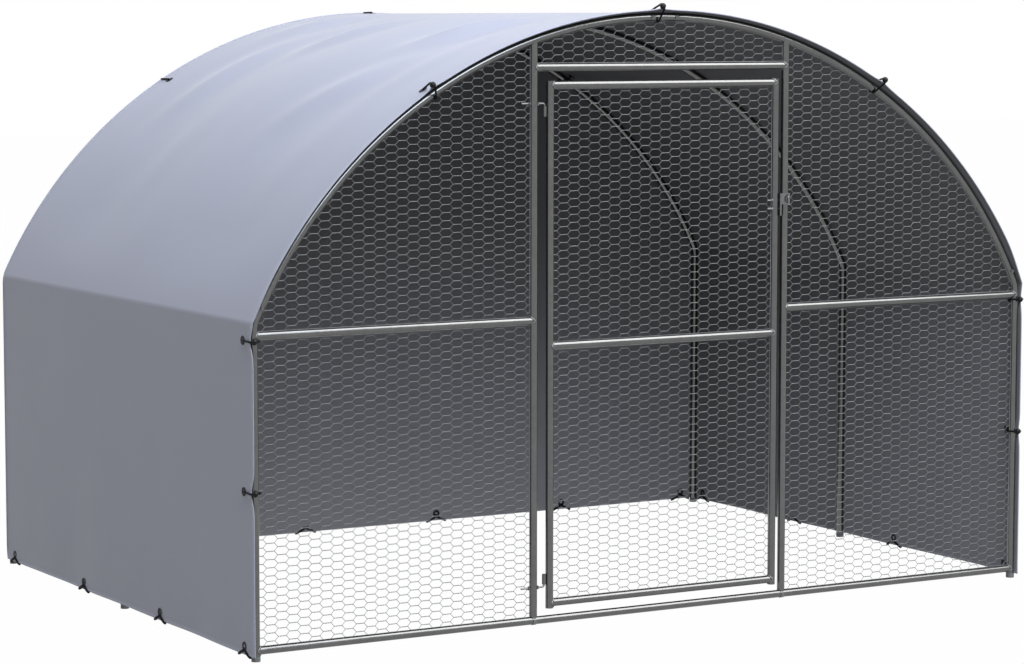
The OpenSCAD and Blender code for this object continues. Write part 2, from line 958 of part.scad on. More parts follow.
// Closed cord swept round its corners, with six sides
module tie(corners) {
    sides = 6;
    rings = tie_rings(corners);
    count = len(rings);
    points = [for (ring = rings, j = [0:sides - 1])
        let (
            t = 360 * j / sides,
            y = ring[0][0] + cord_r * cos(t) * cos(ring[1]),
            out = ring[0][1] + cord_r * cos(t) * sin(ring[1])
        )
        [out, y, cord_r * sin(t)]];
    faces = [for (i = [0:count - 1], j = [0:sides - 1])
        let (
            a = i * sides + j,
            b = i * sides + (j + 1) % sides,
            c = ((i + 1) % count) * sides + j,
            d = ((i + 1) % count) * sides + (j + 1) % sides
        )
        each [[a, c, b], [b, c, d]]];
    polyhedron(points, faces);
}

module front_ties() {
    color(cord_black)
        for (place = tie_places)
            translate([0, hoop_y[0], 0])
                at_place(place)
                    tie(place[0] == "wall" ? wall_corners : arch_corners);
}

module rear_ties() {
    color(cord_black)
        for (place = arch_places)
            translate([0, hoop_y[2], 0])
                at_place(place)
                    mirror([0, 1, 0])
                        tie(rear_corners);
}

// Ring of cord through an eyelet and under the hem
module hem_ring() {
    translate([hem_ring_drop, 0, 0])
        rotate([90, 0, 0])
            rotate_extrude()
                translate([hem_ring_r, 0])
                    circle(cord_r);
}

module hem_ties() {
    color(cord_black) {
        for (s = [-1, 1])
            wall_hem_places(s)
                hem_ring();
        back_hem_places()
            rotate([0, 0, -90])
                hem_ring();
    }
}

// Ball on a straight run of cord, drilled along it
module tie_ball(angle) {
    rotate([0, 0, 90 - angle])
        rotate([0, 90, 0])
            difference() {
                sphere(ball_r);
                cylinder(r = cord_r + seat_gap, h = 2 * ball_d, center = true);
            }
}

module tie_balls() {
    color(cord_black) {
        for (place = wall_places)
            translate([0, hoop_y[0], 0])
                at_place(place)
                    translate([wall_ball[1], wall_ball[0], 0])
                        tie_ball(90);
        for (place = arch_places)
            translate([0, hoop_y[0], 0])
                at_place(place)
                    translate([ball_place[1], ball_place[0], 0])
                        tie_ball(ball_lean + 90);
        for (place = arch_places)
            translate([0, hoop_y[2], 0])
                at_place(place)
                    translate([0, -rear_ball_y, 0])
                        tie_ball(90);
    }
}

leg(0, -1);  // front_left_leg
leg(0, 1);  // front_right_leg
leg(1, -1);  // middle_left_leg
leg(1, 1);  // middle_right_leg
leg(2, -1);  // rear_left_leg
leg(2, 1);  // rear_right_leg
arch(0, -1);  // front_left_arch
arch(0, 1);  // front_right_arch
arch(1, -1);  // middle_left_arch
arch(1, 1);  // middle_right_arch
arch(2, -1);  // rear_left_arch
arch(2, 1);  // rear_right_arch
crest_joiners();
eave_joiners();
hoop_screws();
ridge_tube(0);  // ridge_tube_front
ridge_tube(1);  // ridge_tube_rear
ridge_studs();
foot_caps();
cross_bar(-leg_x, leg_x, floor_bar_z);  // floor_bar
cross_bar(-leg_x, -post_x, eave_z);  // left_eave_bar
cross_bar(post_x, leg_x, eave_z);  // right_eave_bar
left_door_post();
right_door_post();
cross_bar(-post_x, post_x, header_z);  // header_bar
post_collars();
pintle(upper_pintle_z, -1);  // upper_pintle
pintle(lower_pintle_z, 1);  // lower_pintle
pintle_nuts();
door_hinge_stile();
door_latch_stile();
cross_bar(hinge_stile_x, latch_stile_x, door_top_z);  // door_top_bar
cross_bar(hinge_stile_x, latch_stile_x, door_middle_z);  // door_middle_bar
cross_bar(hinge_stile_x, latch_stile_x, door_bottom_z);  // door_bottom_bar
hinge_sleeves();
hasp_leaf();
hasp_pin();
hasp_flap();
hasp_bolts();
hasp_nuts();
hasp_staple();
lower_net(-1);  // left_lower_net
upper_net(-1);  // left_upper_net
lower_net(1);  // right_lower_net
upper_net(1);  // right_upper_net
transom_net();
door_net(door_middle_z, door_top_z);  // door_upper_net
door_net(door_bottom_z, door_middle_z);  // door_lower_net
cover_roof();
cover_wall(-1);  // cover_left_wall
cover_wall(1);  // cover_right_wall
cover_back_wall();
eyelets();
front_ties();
rear_ties();
hem_ties();
tie_balls();
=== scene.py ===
"""Dresses a walk-in chicken run.

Adds netting, tarpaulin, elastic ties, weld beads, finishes and a studio.
"""

import math

import bpy
import numpy as np
from bpy.props import FloatProperty, FloatVectorProperty, IntProperty, PointerProperty
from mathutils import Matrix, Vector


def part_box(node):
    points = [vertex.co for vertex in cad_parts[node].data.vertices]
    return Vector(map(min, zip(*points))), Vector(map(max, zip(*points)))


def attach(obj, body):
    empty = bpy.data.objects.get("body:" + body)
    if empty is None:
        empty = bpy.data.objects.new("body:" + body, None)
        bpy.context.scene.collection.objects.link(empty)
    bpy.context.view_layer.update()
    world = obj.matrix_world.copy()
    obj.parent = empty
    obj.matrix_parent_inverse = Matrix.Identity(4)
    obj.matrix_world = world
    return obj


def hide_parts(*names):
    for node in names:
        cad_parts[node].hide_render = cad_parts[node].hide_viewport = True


bl_info = {
    "name": "Chicken Run Dresser",
    "version": (1, 0, 0),
    "blender": (4, 5, 0),
    "location": "View3D > Sidebar > Run",
    "description": "Adds netting, tarpaulin, ties and finishes to a walk-in chicken run",
    "category": "Object",
}

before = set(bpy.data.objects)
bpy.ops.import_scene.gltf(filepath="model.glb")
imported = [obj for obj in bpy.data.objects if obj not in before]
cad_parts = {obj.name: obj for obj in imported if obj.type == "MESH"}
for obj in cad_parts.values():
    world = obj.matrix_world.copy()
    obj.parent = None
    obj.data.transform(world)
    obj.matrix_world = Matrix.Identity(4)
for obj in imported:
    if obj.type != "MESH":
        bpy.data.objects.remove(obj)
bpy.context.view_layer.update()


# Places and sizes read from the frame

def span(node, axis):
    """Lowest and highest value of a node along one axis."""
    low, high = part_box(node)
    return low[axis], high[axis]


def middle(node, axis):
    """Middle of a node along one axis."""
    return sum(span(node, axis)) / 2


X, Y, Z = range(3)
UP = np.array([0.0, 0.0, 1.0])
TUBE_R = (span("floor_bar", Z)[1] - span("floor_bar", Z)[0]) / 2
LEG_X = span("front_right_leg", X)[1] - TUBE_R
HOOP_Y = [middle(f"{place}_left_leg", Y) for place in ("front", "middle", "rear")]
CREST_Z = span("front_left_arch", Z)[1] - TUBE_R
BEND_Z = span("cover_left_wall", Z)[1]
HEM_DROP = 0.006
HEM_Z = span("cover_left_wall", Z)[0] - HEM_DROP
POST_X = middle("right_door_post", X)
EAVE_Z = middle("left_eave_bar", Z)
FLOOR_BAR_Z = middle("floor_bar", Z)
HEADER_Z = middle("header_bar", Z)
DOOR_X = [middle("door_hinge_stile", X), middle("door_latch_stile", X)]
DOOR_Z = [middle(f"door_{place}_bar", Z) for place in ("bottom", "middle", "top")]
LIP_Y = span("cover_roof", Y)[0]
COVER_IN = span("cover_right_wall", X)[0] - LEG_X
COVER_THICK = span("cover_back_wall", Y)[1] - span("cover_back_wall", Y)[0]
COVER_OUT = COVER_IN + COVER_THICK
LIP_RISE = span("cover_roof", Z)[1] - CREST_Z - COVER_OUT
LIP_REACH = HOOP_Y[0] - LIP_Y
WALL_LIP_SHARE = (HOOP_Y[0] - span("cover_left_wall", Y)[0]) / LIP_REACH
BACK_Y = middle("cover_back_wall", Y)
SEAT_GAP = COVER_IN - TUBE_R


# Sizes and colours that a user may change

def metres(name, description, default):
    """A length property."""
    return FloatProperty(name=name, description=description, default=default, unit="LENGTH")


def degrees(name, description, default):
    """An angle property, given in degrees."""
    return FloatProperty(
        name=name, description=description, default=math.radians(default), subtype="ANGLE")


def colour(name, default):
    """A colour property with its name and linear value."""
    return FloatVectorProperty(
        name=name, description=f"{name}, linear", size=3, subtype="COLOR", min=0, max=1,
        default=default)


class RunSizes(bpy.types.PropertyGroup):
    """Curves of the hoops."""

    arch_radius: metres("Arch radius", "Radius of the roof arch at the tube axis", 1.60614)
    bend_radius: metres("Bend radius", "Radius of the bend between leg and arch", 0.09)
    weld_width: metres("Weld width", "Radius of the weld beads", 0.0030)


class NetSizes(bpy.types.PropertyGroup):
    """Hexagonal wire netting."""

    column: metres("Column step", "Sideways step between two columns of cells", 0.038)
    pitch: metres("Pitch", "Height of a cell", 0.025)
    twist_length: metres("Twist length", "Length of the twisted level edges", 0.0265)
    wire_radius: metres("Wire radius", "Radius of a single wire", 0.00082)
    edge_radius: metres("Edge wire radius", "Radius of the wire along the net's edge", 0.0013)
    twist_turns: FloatProperty(
        name="Twist turns", description="Turns of the two wires round each other", default=1.5)


class CoverSizes(bpy.types.PropertyGroup):
    """Tarpaulin and its folds."""

    sag: metres("Sag", "How far the roof sinks between two hoops", 0.010)
    fold_height: metres("Fold height", "Height of the soft roof folds", 0.026)
    hem_width: metres("Hem width", "Width of the sewn hem", 0.032)
    hem_rise: metres("Hem rise", "How far the lower hem lifts between two ties", 0.0015)
    wall_lip: metres("Wall lip", "Reach of the front edge ahead of the hoop on the walls", 0.024)
    lip_flare: metres("Lip flare", "Rise of the front edge on the arch between its ties", 0.008)
    rope_radius: metres("Hem rope radius", "Radius of the rope in the rolled edge", 0.0026)
    steps_across: IntProperty(
        name="Steps across", description="Grid steps from the left hem to the right", default=340)
    steps_deep: IntProperty(
        name="Steps deep", description="Grid steps from the front edge to the back", default=110)


class TieSizes(bpy.types.PropertyGroup):
    """Elastic ties."""

    cord_radius: metres("Cord radius", "Radius of the elastic cord", 0.0025)
    ball_radius: metres("Ball radius", "Radius of a tie ball", 0.010)
    eyelet_back: metres("Eyelet distance", "Distance of an eyelet from its hoop", 0.045)
    eyelet_hole: metres("Eyelet hole radius", "Radius of an eyelet's hole", 0.006)
    eyelet_proud: metres("Eyelet height", "How far an eyelet stands out of the cloth", 0.0013)
    arch_angle: degrees("Arch tie angle", "Angle from the crest to an arch tie", 31.5)
    ball_lean: degrees("Ball lean", "Way from the lip to a ball, up from the depth axis", 130)
    hem_inset: metres("Hem tie inset", "Distance of the outer hem ties from the hoops", 0.05)
    hem_lean: degrees("Hem tie lean", "How far the two loops of a hem tie lean apart", 65)
    hem_stem: metres("Hem tie stem", "How far a hem tie falls before its loops part", 0.006)


class RunColours(bpy.types.PropertyGroup):
    """Colours of the finishes."""

    cover_outside: colour("Tarpaulin outside", (0.232, 0.239, 0.290))
    # The inside is the same tarpaulin painted darker: painted shade inside the run and under the
    # front lip
    cover_inside_painted_shade: colour("Tarpaulin inside", (0.150, 0.149, 0.156))
    tube_light: colour("Galvanised light", (0.150, 0.150, 0.148))
    tube_dark: colour("Galvanised dark", (0.105, 0.105, 0.104))
    fitting: colour("Zinc fittings", (0.17, 0.17, 0.17))
    wire: colour("Net wire", (0.145, 0.145, 0.146))
    cord: colour("Elastic cord", (0.003, 0.003, 0.004))
    plastic: colour("Plastic trim", (0.010, 0.010, 0.011))
    foot: colour("Foot caps", (0.085, 0.087, 0.088))


class RunSettings(bpy.types.PropertyGroup):
    """All settings of the dresser."""

    run: PointerProperty(type=RunSizes)
    net: PointerProperty(type=NetSizes)
    cover: PointerProperty(type=CoverSizes)
    tie: PointerProperty(type=TieSizes)
    colours: PointerProperty(type=RunColours)


def settings():
    """The scene's dresser settings."""
    return bpy.context.scene.chicken_run


# Shader sums

class Link:
    """A shader socket that takes part in sums; each sum adds a Math node to its tree."""

    def __init__(self, tree, socket):
        self.tree = tree
        self.socket = socket

    def node(self, kind, options=None, sockets=None, out=0):
        """Adds any other node: its options are set first, then its socket values or links."""
        made = self.tree.nodes.new(kind)
        for name, value in (options or {}).items():
            setattr(made, name, value)
        for name, value in (sockets or {}).items():
            if isinstance(value, Link):
                self.tree.links.new(value.socket, made.inputs[name])
            else:
                made.inputs[name].default_value = value
        return Link(self.tree, made.outputs[out])

    def math(self, operation, *values):
        """Adds a Math node over values or links."""
        return self.node("ShaderNodeMath", {"operation": operation}, dict(enumerate(values)))

    def __add__(self, other):
        return self.math("ADD", self, other)

    def __sub__(self, other):
        return self.math("SUBTRACT", self, other)

    def __rsub__(self, other):
        return self.math("SUBTRACT", other, self)

    def __mul__(self, other):
        return self.math("MULTIPLY", self, other)

    def __truediv__(self, other):
        return self.math("DIVIDE", self, other)

    __radd__ = __add__
    __rmul__ = __mul__

    def noise(self, scale, detail=2.0):
        """Soft noise from 0 to 1."""
        return self.node(
            "ShaderNodeTexNoise", None, {"Vector": self, "Scale": scale, "Detail": detail}, "Fac")

    def blend(self, first, second):
        """Mixes two colours, plain or linked, by this value."""
        first, second = [c if isinstance(c, Link) else (*c, 1.0) for c in (first, second)]
        return self.node("ShaderNodeMix", {"data_type": "RGBA"}, {0: self, 6: first, 7: second}, 2)

    def bump(self, distance, strength):
        """A bump normal from this height."""
        sockets = {"Height": self, "Distance": distance, "Strength": strength}
        return self.node("ShaderNodeBump", None, sockets)

    def axes(self):
        """The three parts of a vector."""
        split = self.node("ShaderNodeSeparateXYZ", None, {0: self})
        return [Link(self.tree, out) for out in split.socket.node.outputs]


def finish(name, coordinates="Object"):
    """A new material: returns it, its shader and its surface coordinates."""
    material = bpy.data.materials.new(name)
    material.use_nodes = True
    tree = material.node_tree
    shader = tree.nodes["Principled BSDF"]
    place = tree.nodes.new("ShaderNodeTexCoord").outputs[coordinates]
    return material, shader, Link(tree, place)


def feed(shader, **inputs):
    """Sets or links the shader's sockets; underscores stand for spaces."""
    for name, value in inputs.items():
        socket = shader.inputs[name.replace("_", " ")]
        if isinstance(value, Link):
            value.tree.links.new(value.socket, socket)
        else:
            socket.default_value = value


def shade(value, factor):
    """A colour made darker or lighter by a factor."""
    return tuple(min(1.0, part * factor) for part in value)


# Finishes: marks are counted per metre, steps and heights are in metres

CRYSTAL_MARKS = 85.0
ZINC_CLOUD_MARKS = 9.0
ZINC_GRAIN_MARKS = 420.0
CRYSTAL_SHARE = 0.35
ZINC_UNEVENNESS = 0.06

THREAD_STEP = 0.004
THREAD_SHARE = 0.25
CLOTH_CLOUD_MARKS = 1.3
CLOTH_CREASE_MARKS = 7.0
CLOTH_CLOUD_SHARE = 0.6
CLOTH_TONES = (0.90, 1.10)
CLOTH_COAT_SHARE = 0.4
# Height over which the painted floor light on the cloth fades out
FLOOR_LIGHT_PAINT_HEIGHT = 1.5

BRAID_STEP = 0.006
BRAID_STRANDS = 4
# Colour factors of the braid's grooves and crowns: painted shade and painted highlight
BRAID_SHADE_TONES = (0.6, 2.2)

PLASTIC_GRAIN_MARKS = 650.0
PLASTIC_SCUFF_MARKS = 40.0
PLASTIC_TONES = (0.8, 1.5)


def galvanised_finish(name, light, dark, roughness, metal):
    """Hot-dip zinc: frosted crystal cells over slow cloudy patches, with faint grain."""
    material, shader, place = finish(name)
    cells = place.node(
        "ShaderNodeTexVoronoi", None, {"Vector": place, "Scale": CRYSTAL_MARKS}, "Color")
    crystal = cells.node("ShaderNodeRGBToBW", None, {0: cells})
    clouds = place.noise(ZINC_CLOUD_MARKS, detail=3.0)
    grain = place.noise(ZINC_GRAIN_MARKS)
    tone = crystal * CRYSTAL_SHARE + clouds * (1 - CRYSTAL_SHARE)
    feed(
        shader,
        Base_Color=tone.blend(dark, light),
        Metallic=metal,
        Roughness=roughness + crystal * ZINC_UNEVENNESS + clouds * ZINC_UNEVENNESS,
        Normal=(grain * 0.5 + crystal * 0.5).bump(distance=0.0004, strength=0.12))
    return material


def cloth_finish(name, base, roughness, painted_floor_light, sheen):
    """Coated woven sheet in metres of cloth, lighter towards the ground by painted light from the
    floor.

    It has faint cross threads, slow tone changes and finer creases.
    """
    material, shader, place = finish(name, "UV")
    across, along, _ = place.axes()
    thread = 2 * math.pi / THREAD_STEP
    threads = across.math("SINE", across * thread) * along.math("SINE", along * thread)
    clouds = place.noise(CLOTH_CLOUD_MARKS, detail=3.0)
    creases = place.noise(CLOTH_CREASE_MARKS, detail=4.0)
    tone = clouds * CLOTH_CLOUD_SHARE + creases * (1 - CLOTH_CLOUD_SHARE)
    # Painted light from the floor: a factor lifts the colour near the ground, fading out with
    # height
    height = place.node("ShaderNodeTexCoord", out="Object").axes()[Z]
    low = height.math("MAXIMUM", 1 - height / FLOOR_LIGHT_PAINT_HEIGHT, 0.0)
    plain = tone.blend(*(shade(base, factor) for factor in CLOTH_TONES))
    feed(
        shader,
        Base_Color=(low * low).blend(plain, shade(base, painted_floor_light)),
        Roughness=roughness + creases * 0.12,
        Specular_IOR_Level=0.25,
        Coat_Weight=CLOTH_COAT_SHARE * sheen,
        Coat_Roughness=0.2,
        Sheen_Weight=sheen,
        Sheen_Roughness=0.25,
        Normal=(threads * THREAD_SHARE + creases).bump(distance=0.0012, strength=0.10))
    return material


def braid_finish(name, base):
    """Woven elastic: two sets of crossing strands along the cord, with painted shade in the grooves
    and painted highlight on the crowns.
    """
    material, shader, place = finish(name, "UV")
    around, along, _ = place.axes()
    lay = along * (2 * math.pi / BRAID_STEP)
    turn = around * (BRAID_STRANDS * 2 * math.pi)
    strands = lay.math("SINE", lay + turn) * lay.math("SINE", lay - turn)
    height = strands * 0.5 + 0.5
    feed(
        shader,
        # Colour follows the strand height: painted shade in the grooves, painted highlight on the
        # crowns
        Base_Color=height.blend(*(shade(base, factor) for factor in BRAID_SHADE_TONES)),
        Roughness=0.62 - height * 0.15,
        Specular_IOR_Level=0.06,
        Normal=height.bump(distance=0.0006, strength=0.6))
    return material


def plastic_finish(name, base, roughness, gloss):
    """Moulded plastic with a fine grain and a given mirror strength."""
    material, shader, place = finish(name)
    grain = place.noise(PLASTIC_GRAIN_MARKS)
    scuffs = place.noise(PLASTIC_SCUFF_MARKS, detail=4.0)
    feed(
        shader,
        Base_Color=scuffs.blend(*(shade(base, factor) for factor in PLASTIC_TONES)),
        Roughness=roughness + scuffs * 0.15,
        Specular_IOR_Level=gloss,
        Normal=grain.bump(distance=0.0003, strength=0.2))
    return material


# Mesh building

def new_object(name, data):
    """A new object in the scene."""
    made = bpy.data.objects.new(name, data)
    bpy.context.scene.collection.objects.link(made)
    return made


def unit(vectors):
    """Vectors brought to length one."""
    return vectors / np.linalg.norm(vectors, axis=-1, keepdims=True)


def circle(steps, turns=1):
    """Even angles round a number of full turns."""
    return np.linspace(0, 2 * math.pi * turns, steps, endpoint=False)


def mesh_piece(name, points, faces, materials, body, uv=None, material_index=None):
    """Puts whole arrays of points and quads into a new smooth piece that rides on a body."""
    mesh = bpy.data.meshes.new(name)
    faces = np.asarray(faces, np.int32)
    starts = np.arange(0, faces.size, faces.shape[1], dtype=np.int32)
    mesh.vertices.add(len(points))
    mesh.vertices.foreach_set("co", np.asarray(points, np.float32).ravel())
    mesh.loops.add(faces.size)
    mesh.loops.foreach_set("vertex_index", faces.ravel())
    mesh.polygons.add(len(faces))
    mesh.polygons.foreach_set("loop_start", starts)
    mesh.polygons.foreach_set("use_smooth", np.ones(len(faces), bool))
    for material in materials:
        mesh.materials.append(material)
    if material_index is not None:
        mesh.polygons.foreach_set("material_index", np.asarray(material_index, np.int32))
    if uv is not None:
        layer = mesh.uv_layers.new(name="cloth")
        layer.data.foreach_set("uv", np.asarray(uv, np.float32)[faces.ravel()].ravel())
    mesh.update()
    mesh.validate()
    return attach(new_object(name, mesh), body)


def grid_faces(rows, columns, wrap_rows=False, wrap_columns=False):
    """Quads of a grid of points, row by row, closed round where asked."""
    row = np.arange(rows if wrap_rows else rows - 1)[:, None]
    column = np.arange(columns if wrap_columns else columns - 1)[None, :]
    next_row = (row + 1) % rows
    next_column = (column + 1) % columns
    shape = (row.size, column.size)
    corners = [row * columns + column, row * columns + next_column,
               next_row * columns + next_column, next_row * columns + column]
    return np.stack([np.broadcast_to(c, shape) for c in corners], -1).reshape(-1, 4)


def join(parts):
    """Stacks (points, faces, uv) parts into one."""
    offsets = np.cumsum([0] + [len(points) for points, _, _ in parts[:-1]])
    points = np.concatenate([points for points, _, _ in parts])
    faces = np.concatenate([faces + offset for (_, faces, _), offset in zip(parts, offsets)])
    return points, faces, np.concatenate([uv for _, _, uv in parts])


def loop_tube(path, plane_normal, radius, sides=10, ripple=0.0, ripples=0):
    """Closed tube: a circle carried round a closed path; a ripple swells it in waves.

    Ring offset = radius (cos a m + sin a b), with b along the plane's normal and m across the
    path. A rippled path may leave its plane, so there b is first made square to the path.
    """
    path = np.asarray(path, float)
    count = len(path)
    tangent = unit(np.roll(path, -1, 0) - np.roll(path, 1, 0))
    b = np.broadcast_to(np.asarray(plane_normal, float), path.shape)
    if ripple:
        b = unit(b - np.sum(b * tangent, 1)[:, None] * tangent)
    m = np.cross(tangent, b)
    a = circle(sides)
    swell = radius * (1 + ripple * np.sin(circle(count, ripples)))[:, None, None]
    offset = np.cos(a)[None, :, None] * m[:, None] + np.sin(a)[None, :, None] * b[:, None]
    points = (path[:, None] + swell * offset).reshape(-1, 3)
    run = np.cumsum(np.linalg.norm(path - np.roll(path, 1, 0), axis=1))
    around = a[None, :] / (2 * math.pi)
    uv = np.stack(np.broadcast_arrays(around, run[:, None]), -1).reshape(-1, 2)
    return points, grid_faces(count, sides, True, True)[:, ::-1], uv


# The hoop's outline

class Hoop:
    """Outline of a hoop at the tube axis: legs, bends and arch, by distance from the left foot."""

    def __init__(self):
        sizes = settings().run
        self.radius = sizes.arch_radius
        self.bend = sizes.bend_radius
        self.arch_z = CREST_Z - self.radius
        self.bend_x = LEG_X - self.bend
        self.half = math.atan2(self.bend_x, BEND_Z - self.arch_z)
        self.marks = np.cumsum([
            BEND_Z,
            self.bend * (math.pi / 2 - self.half),
            2 * self.half * self.radius,
            self.bend * (math.pi / 2 - self.half),
            BEND_Z])
        self.crest = (self.marks[1] + self.marks[2]) / 2

    def at(self, run, out):
        """Points x, z at a distance along the outline and out from it.

        A leg is a straight line; a bend and the arch are arcs, x = c + r sin a, z = c + r cos a.
        """
        m = self.marks
        arcs = [
            (-self.bend_x, BEND_Z, self.bend, -math.pi / 2 + (run - m[0]) / self.bend),
            (0.0, self.arch_z, self.radius, (run - self.crest) / self.radius),
            (self.bend_x, BEND_Z, self.bend, self.half + (run - m[2]) / self.bend)]
        zones = [run < mark for mark in m[:4]]
        x = [centre + (r + out) * np.sin(a) for centre, _, r, a in arcs]
        z = [centre + (r + out) * np.cos(a) for _, centre, r, a in arcs]
        return (np.select(zones, [-LEG_X - out, *x], LEG_X + out),
                np.select(zones, [run, *z], m[4] - run))

    def top(self, x, out):
        """Height of the outline above a place x, moved outwards."""
        side = np.abs(x) - self.bend_x
        bend = BEND_Z + np.sqrt(np.maximum((self.bend + out) ** 2 - side ** 2, 0))
        arch = self.arch_z + np.sqrt(np.maximum((self.radius + out) ** 2 - x ** 2, 0))
        join_x = (self.radius + out) * math.sin(self.half)
        return np.where(np.abs(x) < join_x, arch, bend)


def smooth(value):
    """Smooth step of a value from 0 to 1."""
    value = np.clip(value, 0, 1)
    return value * value * (3 - 2 * value)


# Netting

LEVEL = 1e-12
SHORTEST_WIRE_SHARE = 0.05
SHORTEST_EDGE_STEP = 1e-5
EDGE_STEPS = 40
TWIST_RINGS = 7
EDGE_SIDES = 6


def clip_to_convex(start, end, planes, disc):
    """Cuts segments to a convex area, half planes n.p < c and one disc, and keeps what is left."""
    way = end - start
    first = np.zeros(len(start))
    last = np.ones(len(start))
    for normal, limit in planes:
        rate = way @ normal
        room = limit - start @ normal
        level = np.abs(rate) <= LEVEL
        share = np.divide(room, rate, out=np.full(len(start), np.inf), where=~level)
        last = np.where(rate > 0, np.minimum(last, share), last)
        first = np.where(rate < 0, np.maximum(first, share), first)
        first = np.where(level & (room < 0), 2.0, first)
    centre, radius = disc
    to = start - centre
    a = np.sum(way * way, 1)
    b = np.sum(to * way, 1)
    root = b * b - a * (np.sum(to * to, 1) - radius ** 2)
    spread = np.sqrt(np.maximum(root, 0))
    first = np.where(root > 0, np.maximum(first, (-b - spread) / a), 2.0)
    last = np.minimum(last, (-b + spread) / a)
    kept = last - first > SHORTEST_WIRE_SHARE
    return (start + first[:, None] * way)[kept], (start + last[:, None] * way)[kept]


def wires(start, end, depth, half_width, half_thick, turns=0.0, rings=2):
    """Four-sided rods, straight or of a flat section that turns as two wires twisted together.

    Ring k stands at a share s = k / (rings - 1) of the way, with its section turned by
    2 pi turns s.
    """
    count = len(start)
    way = end - start
    along = unit(way)
    side = np.stack([-along[:, 1], along[:, 0]], 1)
    share = np.linspace(0, 1, rings)
    corner = np.array([[1, 0], [0, 1], [-1, 0], [0, -1]]) * [half_width, half_thick]
    wide, thick = corner[None, :, 0], corner[None, :, 1]
    angle = 2 * math.pi * turns * share
    cos, sin = np.cos(angle)[:, None], np.sin(angle)[:, None]
    turned = np.stack([wide * cos - thick * sin, wide * sin + thick * cos], -1)
    flat = (start[:, None, None] + share[None, :, None, None] * way[:, None, None]
            + turned[None, :, :, :1] * side[:, None, None])
    y = np.broadcast_to(depth + turned[None, :, :, 1], flat.shape[:3])
    points = np.stack([flat[..., 0], y, flat[..., 1]], -1).reshape(-1, 3)
    one = grid_faces(rings, 4, False, True)
    faces = (one[None] + (np.arange(count) * rings * 4)[:, None, None]).reshape(-1, 4)
    return points, faces[:, ::-1], np.zeros((len(points), 2))


def net_lattice(low, high):
    """Level twisted edges and the slanting edges between them, over a box of the net's plane."""
    net = settings().net
    columns = np.arange(-1, math.ceil((high[0] - low[0]) / net.column) + 2)
    rows = np.arange(-1, math.ceil((high[1] - low[1]) / net.pitch) + 2)
    column, row = np.meshgrid(columns, rows, indexing="ij")
    x = low[0] + column.ravel() * net.column
    z = low[1] + (row.ravel() + (column.ravel() % 2) / 2) * net.pitch
    half = net.twist_length / 2
    level = (np.stack([x - half, z], 1), np.stack([x + half, z], 1))
    slants = [np.stack([x + net.column - half, z + s * net.pitch / 2], 1) for s in (-1, 1)]
    slanting = (np.concatenate([level[1], level[1]]), np.concatenate(slants))
    return level, slanting


def edge_path(low, high, hoop, depth):
    """Outline of a net: its box, with the top cut to the arch where that is lower."""
    radius = hoop.radius - TUBE_R - SEAT_GAP
    x = np.linspace(low[0], high[0], EDGE_STEPS)
    arch = hoop.arch_z + np.sqrt(np.maximum(radius ** 2 - x ** 2, 0))
    top = np.clip(arch, low[1], high[1])
    outline = [[low[0], low[1]], [high[0], low[1]], *np.stack([x, top], 1)[::-1].tolist()]
    outline = np.array(outline)
    gap = np.linalg.norm(outline - np.roll(outline, 1, 0), axis=1)
    outline = outline[gap > SHORTEST_EDGE_STEP]
    return np.stack([outline[:, 0], np.full(len(outline), depth), outline[:, 1]], 1)


def net_piece(node, first, last, body, material):
    """Netting between two corners at the tube axes, cut to the arch, with a wire along its edge."""
    net = settings().net
    hoop = Hoop()
    depth = HOOP_Y[0]
    edge = TUBE_R + SEAT_GAP
    low = np.array(first) + edge
    high = np.array(last) - edge
    planes = [(np.array(n, float), limit) for n, limit in (
        ((-1, 0), -low[0]), ((1, 0), high[0]), ((0, -1), -low[1]), ((0, 1), high[1]))]
    disc = (np.array([0, hoop.arch_z]), hoop.radius - edge)
    level, slanting = [clip_to_convex(*edges, planes, disc) for edges in net_lattice(low, high)]
    wire = net.wire_radius
    outline = edge_path(low, high, hoop, depth)
    points, faces, _ = join([
        wires(*level, depth, 2 * wire, wire, net.twist_turns, TWIST_RINGS),
        wires(*slanting, depth, wire, wire),
        loop_tube(outline, (0, 1, 0), net.edge_radius, EDGE_SIDES)])
    piece = mesh_piece(f"{node}ting", points, faces, [material], body)
    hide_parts(node)
    return piece


# Tarpaulin, in metres

DOUBLE_HEM = 0.0004
DOUBLE_HEM_FADE = 0.003
TIE_DRAW = 0.035
WALL_TO_ARCH = 0.2
WALL_TO_ARCH_LEAD = 0.01
EAVE_TO_FOLDS = 0.30
RIDGE_CALM = 0.16
LIP_CURL = 1.25
HEM_RISE_FADE = 0.12
SIDE_HEM_TIES = 4
BACK_HEM_TIES = 6
BACK_COLUMNS = 121
BACK_ROWS = 90
BACK_TOP_SHARE = 0.98
AREA_COLUMNS = 801
WELT_RADIUS = 0.0032
WELT_STEPS = 220
WELT_SIDES = 10
WELT_END = 0.02

# Slow waves of the walls: height share, waves along and up the wall in radians a metre, phase
WALL_WAVE = 0.0030
WALL_WAVES = [(1.0, 7.3, 0.0, 1.1), (0.6, 12.7, 2.0, 0.0)]
BACK_WAVE = 0.0045
BACK_WAVES = [(1.0, 4.1, 0.9, 0.0), (0.5, 8.3, -2.2, 1.0)]

